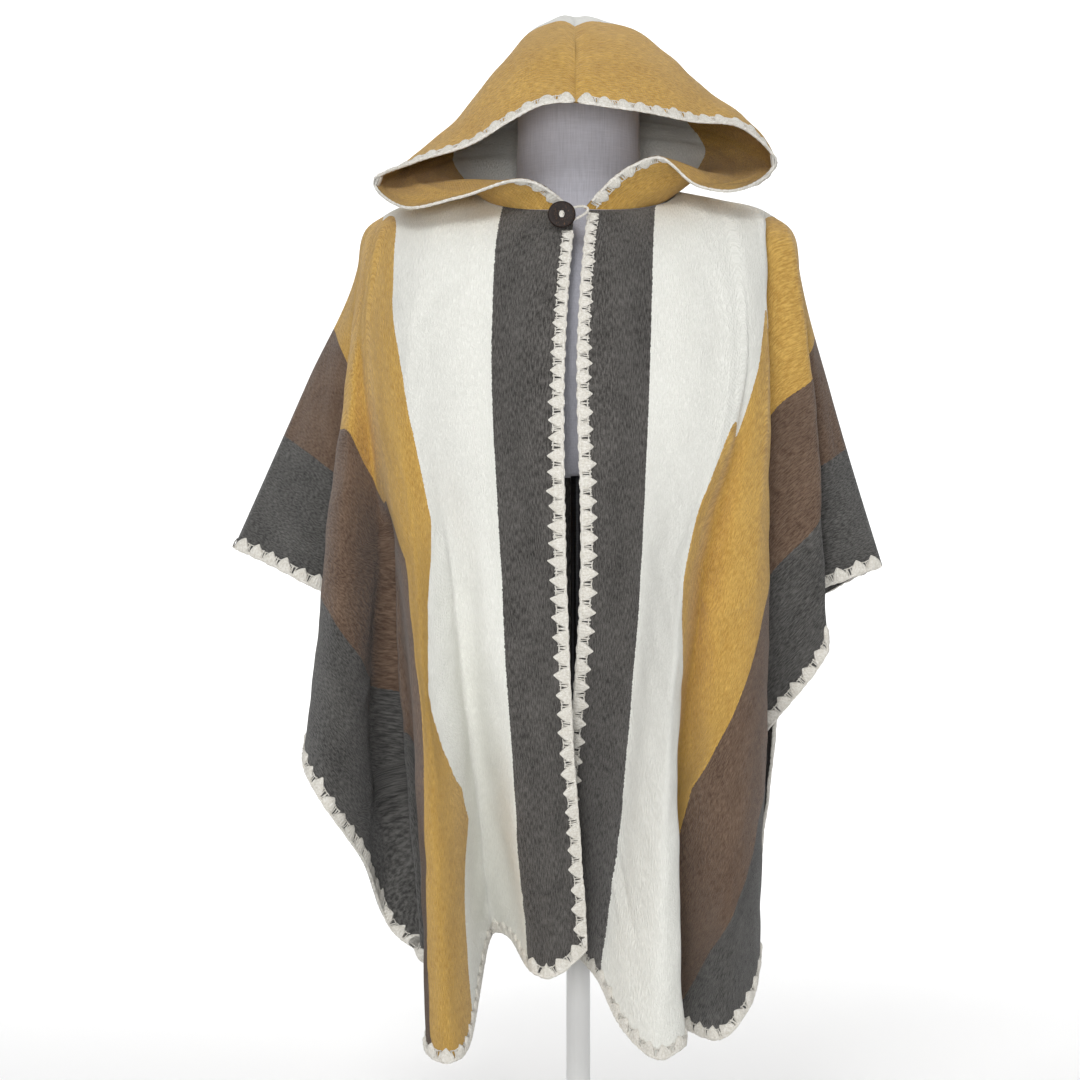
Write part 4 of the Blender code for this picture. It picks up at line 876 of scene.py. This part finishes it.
def crochet(name, edge, seed, material, replaces, start=0.0, first_pitch=SHELL_PITCH):
    """The edging along one edge: shells, the cord under them and thin strands between them."""
    rng = np.random.default_rng(seed)
    stop = edge.total
    places = []
    place = start
    while place < stop:
        step = SHELL_PITCH + (first_pitch - SHELL_PITCH) * math.exp(-(place - start) / PITCH_REACH)
        places.append((place, step))
        place += step
    stretch = (stop - start) / (place - start)
    flat = []
    for place, step in places:
        width = step * stretch
        centre = start + (place - start) * stretch + width / 2
        size = width * rng.uniform(0.93, 1.03)
        depth = SHELL_DEPTH * min(1.0, width / SHELL_FULL_WIDTH) * rng.uniform(0.93, 1.05)
        tilt = rng.uniform(-0.10, 0.10)
        flat.append(crochet_shell(rng, centre + rng.uniform(-0.0005, 0.0005), size, depth, tilt))
        left = centre - width / 2
        # Strands cross the gap between shells from the cord to a thread that bounds it.
        for k in range(STRANDS):
            low = left + (k - (STRANDS - 1) / 2) * STRAND_GAP + rng.uniform(-0.0004, 0.0004)
            high = low + rng.choice([-1.0, 1.0]) * rng.uniform(0.0004, 0.0016)
            reach = rng.uniform(0.0092, 0.0106)
            thick = rng.uniform(0.00055, 0.00072)
            half_way = ((low + high) / 2, reach * 0.55, 0.0015)
            flat.append(tube(np.array([(low, 0.0004, 0.0010), half_way, (high, reach, 0.0003)]), thick, 4))
        bridge = rng.uniform(0.0090, 0.0102)
        span = width * 0.24
        half_way = (left, bridge - 0.0006, 0.0008)
        line = np.array([(left - span, bridge, 0.0003), half_way, (left + span, bridge, 0.0003)])
        flat.append(tube(line, THREAD_RADIUS, 4))
    run = np.arange(start, stop, CORD_STEP)
    wander = 0.0003 * np.sin(run * 900) + 0.0002 * np.sin(run * 377)
    cord = np.stack([run, 0.0006 + wander, np.full_like(run, 0.0003)], 1)
    thick = CORD_RADIUS * (0.88 + 0.12 * np.sin(run * 2 * math.pi / CORD_TWIST))
    flat.append(tube(cord, thick, 6))
    vertices = []
    faces = []
    count = 0
    for points, quads in flat:
        vertices.append(points)
        faces.append(quads + count)
        count += len(points)
    vertices = np.concatenate(vertices)
    world = edge.at(vertices[:, 0], vertices[:, 1], vertices[:, 2])
    mesh = mesh_from_arrays(name, world, np.concatenate(faces))
    return add_piece(name, mesh, material, replaces)


def hem_edge(panel, low, high):
    """The cloth's edge along the hem, round the corner and up the side."""
    def surface(place, share):
        points, normals = panel.surface(place, 1.0 - share)[:2]
        return points, normals
    return Edge(surface, low, high)


def slit_edge(panel, low, high):
    """A front's edge from the neck down to the hem's corner."""
    def surface(place, share):
        points, normals = panel.surface(share, place)[:2]
        return points, normals
    return Edge(surface, low, high)


def rim_edge(table, side):
    """The hood's rim from the neck up to the centre seam."""
    def surface(place, share):
        return hood_place(table, side, place, share)
    return Edge(surface, 0.0, 1.0)


class Pair:
    """Two edges met end to end, read as one; the first may run backwards."""

    def __init__(self, first, second, backwards):
        self.first = first
        self.second = second
        self.backwards = backwards
        self.total = first.total + second.total

    def at(self, along, inward, lift):
        back = along < self.first.total
        one = self.first.at(self.first.total - along if self.backwards else along, inward, lift)
        two = self.second.at(along - self.first.total, inward, lift)
        return np.where(back[:, None], one, two)


# ---------------------------------------------------------------- the button and its loop

def button_frame(panel):
    """The button's place on the right front just below the neck seam, and the way its face looks."""
    points, normals = panel.surface(np.array([BUTTON_U]), np.array([BUTTON_W]))[:2]
    normal = Vector(normals[0])
    place = Vector(points[0]) + normal * (CLOTH_THICK / 2 + BUTTON_CLEARANCE) + BUTTON_RAISED
    return place, (normal + BUTTON_FACING).normalized()


def turned_mesh(name, profile, sides):
    """A solid of revolution about Z from (radius, z) pairs, its ends drawn in to a small ring."""
    turn = 2 * math.pi * np.arange(sides) / sides
    profile = np.array(profile)
    points = np.stack([
        profile[:, :1] * np.cos(turn), profile[:, :1] * np.sin(turn), np.repeat(profile[:, 1:], sides, 1)
    ], -1).reshape(-1, 3)
    index = np.arange(len(points)).reshape(len(profile), sides)
    quads = []
    for k in range(sides):
        beside = (k + 1) % sides
        quads.append(np.stack([index[:-1, k], index[:-1, beside], index[1:, beside], index[1:, k]], 1))
    for end in (index[0][::-1], index[-1]):
        for k in range(1, sides // 2):
            quads.append(np.array([[end[k - 1], end[k], end[sides - 1 - k], end[(sides - k) % sides]]]))
    return mesh_from_arrays(name, points, np.concatenate(quads))


def button(panel, material, yarn):
    """The coconut-shell disc on its shank, with the stitch that shows in its middle."""
    place, normal = button_frame(panel)
    top = SHANK_TOP + BUTTON_THICK
    profile = [(SHANK_RADIUS, 0.0002), (SHANK_RADIUS, SHANK_TOP)]
    for turn in np.linspace(-math.pi / 2, math.pi / 2, 9):
        out = BUTTON_RADIUS - BUTTON_EDGE + BUTTON_EDGE * math.cos(turn)
        profile.append((out, SHANK_TOP + BUTTON_THICK / 2 + (BUTTON_THICK / 2) * math.sin(turn)))
    # The face has a low rim and dishes gently to its middle.
    for share, rise in ((0.86, 0.0002), (0.62, -0.0001), (0.30, -0.0003)):
        profile.append((BUTTON_RADIUS * share, top + rise))
    profile.append((0.0004, top - 0.0004))
    mesh = turned_mesh("button_disc", profile, 64)
    obj = add_piece("button_disc", mesh, material, ("button",))
    set_on_cloth(obj, place, normal)
    face = top - 0.0002
    strands = []
    for off in (-0.0011, 0.0, 0.0011):
        turn = np.linspace(0, math.pi, 11)
        height = face + 0.0011 * np.sin(turn) - 0.0004
        line = np.stack([off + 0.0002 * np.sin(3 * turn), 0.0029 * np.cos(turn), height], 1)
        strands.append(tube(line, 0.00062, 8))
    turn = np.linspace(0, 2 * math.pi, 20, endpoint=False)
    level = np.full_like(turn, face + 0.0002)
    line = np.stack([0.0023 * np.cos(turn), 0.0033 * np.sin(turn), level], 1)
    strands.append(tube(line, 0.0004, 6, closed=True))
    stitch = add_piece("button_stitch", join_meshes("button_stitch", strands), yarn)
    set_on_cloth(stitch, place, normal)


def set_on_cloth(obj, place, normal):
    """Sets a piece that was made about the origin on the cloth, its own Z along the normal."""
    obj.rotation_mode = "QUATERNION"
    obj.rotation_quaternion = normal.to_track_quat("Z", "Y")
    obj.location = place


def button_loop(panel, material):
    """A loop of two twisted strands round the button's shank, reaching across to the other front."""
    place, normal = button_frame(panel)
    across = (LOOP_RUN - normal * normal.dot(LOOP_RUN)).normalized()
    upward = normal.cross(across)
    turn = 2 * math.pi * np.arange(LOOP_POINTS) / LOOP_POINTS
    middle = []
    for angle in turn:
        wave = 0.0006 * math.sin(3 * angle + 0.6)
        point = (
            place + normal * (0.0026 + 0.0012 * math.cos(angle))
            + across * (LOOP_SHIFT + LOOP_HALF_LONG * math.cos(angle))
            + upward * ((LOOP_HALF_WIDE + wave) * math.sin(angle))
        )
        middle.append(point)
    middle = np.array(middle)
    run = unit(np.roll(middle, -1, 0) - np.roll(middle, 1, 0))
    up = np.broadcast_to(np.array(normal), run.shape)
    side = unit(np.cross(run, up))
    strands = []
    for phase in (0.0, math.pi):
        twist = turn * LOOP_TWISTS + phase
        line = middle + LOOP_STRAND_OFF * (side * np.cos(twist)[:, None] + up * np.sin(twist)[:, None])
        strands.append(tube(line, LOOP_STRAND_RADIUS, 7, closed=True))
    return add_piece("loop_cord", join_meshes("loop_cord", strands), material, ("button_loop",))


# ---------------------------------------------------------------- the dress form

def form_piece(material):
    """The limbless bust, its level sections joined smoothly."""
    sections = np.array(FORM_SECTIONS)
    heights = arc_lengths(np.stack([sections[:, 1], sections[:, 0]], 1))
    fine = spline(heights, sections, np.linspace(0, heights[-1], 150))
    sides = 120
    turn = 2 * math.pi * np.arange(sides) / sides
    c, s = np.cos(turn), np.sin(turn)
    x = fine[:, 1:2] * np.sign(c) * np.abs(c) ** FORM_SQUARE
    depth = np.where(s > 0, fine[:, 3:4], fine[:, 2:3])
    y = depth * np.sign(s) * np.abs(s) ** FORM_SQUARE
    z = np.repeat(fine[:, :1], sides, 1)
    points = np.stack([x, y, z], -1)
    index = np.arange(points.shape[0] * sides).reshape(-1, sides)
    following = np.roll(index, -1, 1)
    quads = np.stack([index[:-1], following[:-1], following[1:], index[1:]], -1).reshape(-1, 4)
    caps = []
    for end in (index[0][::-1], index[-1]):
        for k in range(1, sides // 2):
            caps.append((end[k - 1], end[k], end[sides - 1 - k], end[(sides - k) % sides]))
    mesh = mesh_from_arrays("form_bust", points.reshape(-1, 3), np.concatenate([quads, np.array(caps)]))
    mesh.set_sharp_from_angle(angle=math.radians(40))
    return add_piece("form_bust", mesh, material, ("dress_form",))


# ---------------------------------------------------------------- materials

class Nodes:
    """Short ways to build a material's node tree."""

    def __init__(self, name):
        self.material = bpy.data.materials.new(name)
        self.material.use_nodes = True
        self.tree = self.material.node_tree
        self.shader = self.tree.nodes["Principled BSDF"]

    def add(self, kind, **settings):
        node = self.tree.nodes.new(kind)
        for key, value in settings.items():
            setattr(node, key, value)
        return node

    def link(self, source, target):
        self.tree.links.new(source, target)

    def math(self, operation, a, b=None):
        node = self.add("ShaderNodeMath", operation=operation)
        for socket, value in zip(node.inputs, (a, b)):
            if value is None:
                continue
            if isinstance(value, (int, float)):
                socket.default_value = value
            else:
                self.link(value, socket)
        return node.outputs[0]

    def blend(self, a, b, share_a, share_b):
        """The sum of two heights, each times its share."""
        return self.math("ADD", self.math("MULTIPLY", a, share_a), self.math("MULTIPLY", b, share_b))

    def noise(self, vector, scale, detail=2.0, roughness=0.5):
        node = self.add("ShaderNodeTexNoise")
        node.inputs["Scale"].default_value = scale
        node.inputs["Detail"].default_value = detail
        node.inputs["Roughness"].default_value = roughness
        self.link(vector, node.inputs["Vector"])
        return node.outputs["Fac"]

    def stretched(self, vector, scale):
        node = self.add("ShaderNodeMapping")
        node.inputs["Scale"].default_value = scale
        self.link(vector, node.inputs["Vector"])
        return node.outputs[0]

    def turned(self, vector, angle, scale):
        node = self.add("ShaderNodeMapping")
        node.inputs["Rotation"].default_value = (0.0, 0.0, angle)
        node.inputs["Scale"].default_value = scale
        self.link(vector, node.inputs["Vector"])
        return node.outputs[0]

    def stripes(self, place, span, bands):
        """A ramp of flat colours over 0 to span metres: bands are (end, colour) pairs."""
        node = self.add("ShaderNodeValToRGB")
        node.color_ramp.interpolation = "CONSTANT"
        elements = node.color_ramp.elements
        elements[0].position = 0.0
        elements[0].color = (*bands[0][1], 1.0)
        elements.remove(elements[1])
        for (edge, _), (_, colour) in zip(bands[:-1], bands[1:]):
            element = elements.new(edge / span)
            element.color = (*colour, 1.0)
        self.link(self.math("DIVIDE", place, span), node.inputs["Fac"])
        return node.outputs["Color"]

    def mix(self, factor, a, b):
        node = self.add("ShaderNodeMix", data_type="RGBA")
        self.link(factor, node.inputs["Factor"])
        for socket, value in ((node.inputs[6], a), (node.inputs[7], b)):
            if isinstance(value, tuple):
                socket.default_value = (*value, 1.0)
            else:
                self.link(value, socket)
        return node.outputs[2]

    def sharpen(self, value, low, high):
        node = self.add("ShaderNodeMapRange")
        node.inputs["From Min"].default_value = low
        node.inputs["From Max"].default_value = high
        self.link(value, node.inputs["Value"])
        return node.outputs[0]

    def bump(self, height, distance, strength=1.0, normal=None):
        node = self.add("ShaderNodeBump")
        node.inputs["Distance"].default_value = distance
        node.inputs["Strength"].default_value = strength
        self.link(height, node.inputs["Height"])
        if normal is not None:
            self.link(normal, node.inputs["Normal"])
        return node.outputs["Normal"]

    def finish(self, colour, normal=None, **values):
        if isinstance(colour, tuple):
            self.shader.inputs["Base Color"].default_value = (*colour, 1.0)
        else:
            self.link(colour, self.shader.inputs["Base Color"])
        if normal is not None:
            self.link(normal, self.shader.inputs["Normal"])
        for key, value in values.items():
            self.shader.inputs[key.replace("_", " ")].default_value = value
        return self.material


def brushed_cloth(name, bands, span, twill):
    """Brushed woven cloth: stripes of flecked fibres, with short streaks along it and a soft nap."""
    n = Nodes(name)
    flat = n.add("ShaderNodeUVMap", uv_map="flat_cloth").outputs[0]
    parts = n.add("ShaderNodeSeparateXYZ")
    n.link(flat, parts.inputs[0])
    fray = n.noise(n.stretched(flat, (260.0, 420.0, 1.0)), 1.0, 2.0)
    drift = n.noise(n.stretched(flat, (6.0, 14.0, 1.0)), 1.0, 1.0)
    place = n.math("ABSOLUTE", parts.outputs["X"])
    place = n.math("ADD", place, n.math("MULTIPLY", n.math("SUBTRACT", fray, 0.5), 0.0030))
    place = n.math("ADD", place, n.math("MULTIPLY", n.math("SUBTRACT", drift, 0.5), 0.0012))
    dark = n.stripes(place, span, [(edge, low) for edge, low, _ in bands])
    light = n.stripes(place, span, [(edge, high) for edge, _, high in bands])
    streaks = n.noise(n.stretched(flat, (820.0, 150.0, 1.0)), 1.0, 2.0, 0.5)
    flecks = n.noise(n.stretched(flat, (1200.0, 560.0, 1.0)), 1.0, 2.0, 0.6)
    cloudy = n.noise(n.stretched(flat, (34.0, 16.0, 1.0)), 1.0, 3.0, 0.55)
    fibre = n.sharpen(n.blend(streaks, flecks, 0.7, 0.3), 0.40, 0.62)
    shade = n.blend(fibre, n.sharpen(cloudy, 0.3, 0.7), 0.74, 0.26)
    colour = n.mix(shade, dark, light)
    ridges = n.add("ShaderNodeTexWave", wave_type="BANDS", bands_direction="X", wave_profile="SIN")
    ridges.inputs["Scale"].default_value = 1.0
    ridges.inputs["Distortion"].default_value = 2.2
    ridges.inputs["Detail"].default_value = 2.0
    ridges.inputs["Detail Scale"].default_value = 1.6
    n.link(n.turned(flat, math.radians(48), (150.0, 150.0, 1.0)), ridges.inputs["Vector"])
    normal = n.bump(fibre, 0.0007, 0.8)
    normal = n.bump(ridges.outputs["Fac"], 0.0006, twill, normal)
    normal = n.bump(cloudy, 0.0016, 0.6, normal)
    return n.finish(
        colour, normal, Roughness=0.95, Sheen_Weight=0.20, Sheen_Roughness=0.55, Specular_IOR_Level=0.15,
    )


def crochet_yarn(name, colour_low, colour_high):
    n = Nodes(name)
    place = n.add("ShaderNodeTexCoord").outputs["Object"]
    coarse = n.noise(place, 420.0, 3.0, 0.6)
    fine = n.noise(place, 1600.0, 2.0, 0.6)
    both = n.blend(coarse, fine, 0.6, 0.4)
    colour = n.mix(n.sharpen(both, 0.35, 0.65), colour_low, colour_high)
    normal = n.bump(both, 0.0011, 0.9)
    return n.finish(
        colour, normal, Roughness=0.9, Sheen_Weight=0.25, Sheen_Roughness=0.5, Specular_IOR_Level=0.2,
    )


def coconut_shell():
    n = Nodes("coconut_shell_look")
    place = n.add("ShaderNodeTexCoord").outputs["Object"]
    grain = n.noise(n.stretched(place, (900.0, 260.0, 900.0)), 1.0, 3.0, 0.6)
    spots = n.noise(place, 1300.0, 2.0, 0.6)
    mask = n.sharpen(n.math("MULTIPLY", grain, spots), 0.32, 0.42)
    colour = n.mix(mask, (0.011, 0.0050, 0.0035), (0.15, 0.075, 0.035))
    normal = n.bump(grain, 0.0003, 0.5)
    return n.finish(colour, normal, Roughness=0.5, Specular_IOR_Level=0.25)


def form_cloth():
    """Plain lavender-grey cover: fine upright threads crossed by fainter level ones."""
    n = Nodes("form_cover")
    place = n.add("ShaderNodeTexCoord").outputs["Object"]
    upright = n.noise(n.stretched(place, (900.0, 900.0, 36.0)), 1.0, 2.0, 0.6)
    level = n.noise(n.stretched(place, (60.0, 60.0, 900.0)), 1.0, 2.0, 0.6)
    weave = n.blend(upright, level, 0.65, 0.35)
    colour = n.mix(n.sharpen(weave, 0.36, 0.64), (0.45, 0.45, 0.50), (0.56, 0.56, 0.62))
    normal = n.bump(weave, 0.0005, 0.7)
    return n.finish(
        colour, normal, Roughness=0.9, Sheen_Weight=0.2, Sheen_Roughness=0.5, Specular_IOR_Level=0.2,
    )


def enamel():
    n = Nodes("white_enamel_look")
    place = n.add("ShaderNodeTexCoord").outputs["Object"]
    peel = n.noise(place, 260.0, 2.0)
    return n.finish((0.82, 0.82, 0.81), n.bump(peel, 0.0002, 0.25), Roughness=0.32, Coat_Weight=0.2)


def steel():
    n = Nodes("dark_steel_look")
    place = n.add("ShaderNodeTexCoord").outputs["Object"]
    brushed = n.noise(n.stretched(place, (60.0, 60.0, 900.0)), 1.0, 2.0)
    colour = n.mix(brushed, (0.035, 0.035, 0.038), (0.075, 0.075, 0.08))
    return n.finish(colour, n.bump(brushed, 0.0001, 0.4), Roughness=0.38, Metallic=1.0)


# ---------------------------------------------------------------- stage, lights and camera

def stage():
    """A pale floor that sweeps up into a backdrop far behind."""
    profile = [(FLOOR_FRONT, 0.0), (SWEEP_START, 0.0)]
    for turn in np.linspace(0, math.pi / 2, 24)[1:]:
        profile.append((SWEEP_START + SWEEP_RADIUS * math.sin(turn), SWEEP_RADIUS * (1 - math.cos(turn))))
    profile.append((SWEEP_START + SWEEP_RADIUS, BACKDROP_TOP))
    sides = (-FLOOR_HALF_WIDTH, FLOOR_HALF_WIDTH)
    points = np.array([(x, y, z - FLOOR_DROP) for y, z in profile for x in sides])
    quads = np.array([(2 * k, 2 * k + 1, 2 * k + 3, 2 * k + 2) for k in range(len(profile) - 1)])
    mesh = mesh_from_arrays("studio_floor", points, quads)
    obj = bpy.data.objects.new("studio_floor", mesh)
    bpy.context.scene.collection.objects.link(obj)
    n = Nodes("studio_paper")
    place = n.add("ShaderNodeTexCoord").outputs["Object"]
    grain = n.bump(n.noise(place, 90.0, 2.0), 0.0004, 0.2)
    mesh.materials.append(n.finish((0.88, 0.88, 0.88), grain, Roughness=0.9, Specular_IOR_Level=0.1))


def area_light(name, place, target, size, watts):
    data = bpy.data.lights.new(name, "AREA")
    data.shape = "RECTANGLE"
    data.size, data.size_y = size
    data.energy = watts
    obj = bpy.data.objects.new(name, data)
    bpy.context.scene.collection.objects.link(obj)
    obj.location = place
    obj.rotation_mode = "QUATERNION"
    obj.rotation_quaternion = (Vector(target) - Vector(place)).to_track_quat("-Z", "Y")


def lights():
    world = bpy.data.worlds.new("studio")
    world.use_nodes = True
    background = world.node_tree.nodes["Background"]
    background.inputs["Color"].default_value = (1.0, 1.0, 1.0, 1.0)
    background.inputs["Strength"].default_value = WORLD_STRENGTH
    bpy.context.scene.world = world
    for light in LIGHTS:
        area_light(*light)


def camera():
    data = bpy.data.cameras.new("camera")
    data.sensor_width = SENSOR_WIDTH
    data.lens = CAMERA_LENS
    obj = bpy.data.objects.new("camera", data)
    bpy.context.scene.collection.objects.link(obj)
    obj.location = CAMERA_PLACE
    obj.rotation_euler = (math.pi / 2, 0.0, 0.0)
    bpy.context.scene.camera = obj


# ---------------------------------------------------------------- the object

def main():
    body_cloth = brushed_cloth("striped_cloth", BODY_BANDS, 0.6, 0.20)
    hood_cloth = brushed_cloth("hood_cloth_look", HOOD_BANDS, 0.3, 0.55)
    yarn = crochet_yarn("ivory_yarn", (0.60, 0.565, 0.49), (0.86, 0.84, 0.79))

    right_front = Panel("front_right", RIGHT_FRONT, FRONT_NECK, True, -1)
    left_front = Panel("front_left", LEFT_FRONT, FRONT_NECK, True, 1)
    right_back = Panel("back_right", RIGHT_BACK, BACK_NECK, False, -1)
    left_back = Panel("back_left", LEFT_BACK, BACK_NECK, False, 1)
    front_right = cloth_front(right_front, body_cloth)
    front_left = cloth_front(left_front, body_cloth)
    back = cloth_back(right_back, left_back, body_cloth)
    hood_right = hood_piece("right", RIGHT_HOOD, -1, hood_cloth)
    hood_left = hood_piece("left", LEFT_HOOD, 1, hood_cloth)

    for number, panel in enumerate((right_front, left_front)):
        slit = slit_edge(panel, SLIT_START[panel.name], SLIT_END)
        hem = hem_edge(panel, 0.0, panel.length)
        crochet(
            "crochet_" + panel.name, Pair(slit, hem, False), 11 + number, yarn, ("edging_" + panel.name,),
            first_pitch=FIRST_PITCH,
        )
    hem = Pair(hem_edge(right_back, 0.0, right_back.length), hem_edge(left_back, 0.0, left_back.length), True)
    crochet("crochet_back", hem, 21, yarn, ("edging_back",))
    for name, table, side, seed in (("right", RIGHT_HOOD, -1, 31), ("left", LEFT_HOOD, 1, 32)):
        crochet(
            "crochet_hood_" + name, rim_edge(table, side), seed, yarn, ("edging_hood_" + name,),
            start=RIM_START,
        )
    button(right_front, coconut_shell(), yarn)
    button_loop(right_front, yarn)
    form_piece(form_cloth())
    for slot, material, names in (
        ("white_enamel", enamel(), ("stand_base", "stand_tube")),
        ("dark_steel", steel(), ("stand_collar", "stand_rod")),
    ):
        for name in names:
            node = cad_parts[name]
            node.data.materials.clear()
            node.data.materials.append(material)

    stage()
    lights()
    camera()
    bpy.context.scene.view_settings.view_transform = "Standard"
    bpy.context.scene.view_settings.look = "None"


main()
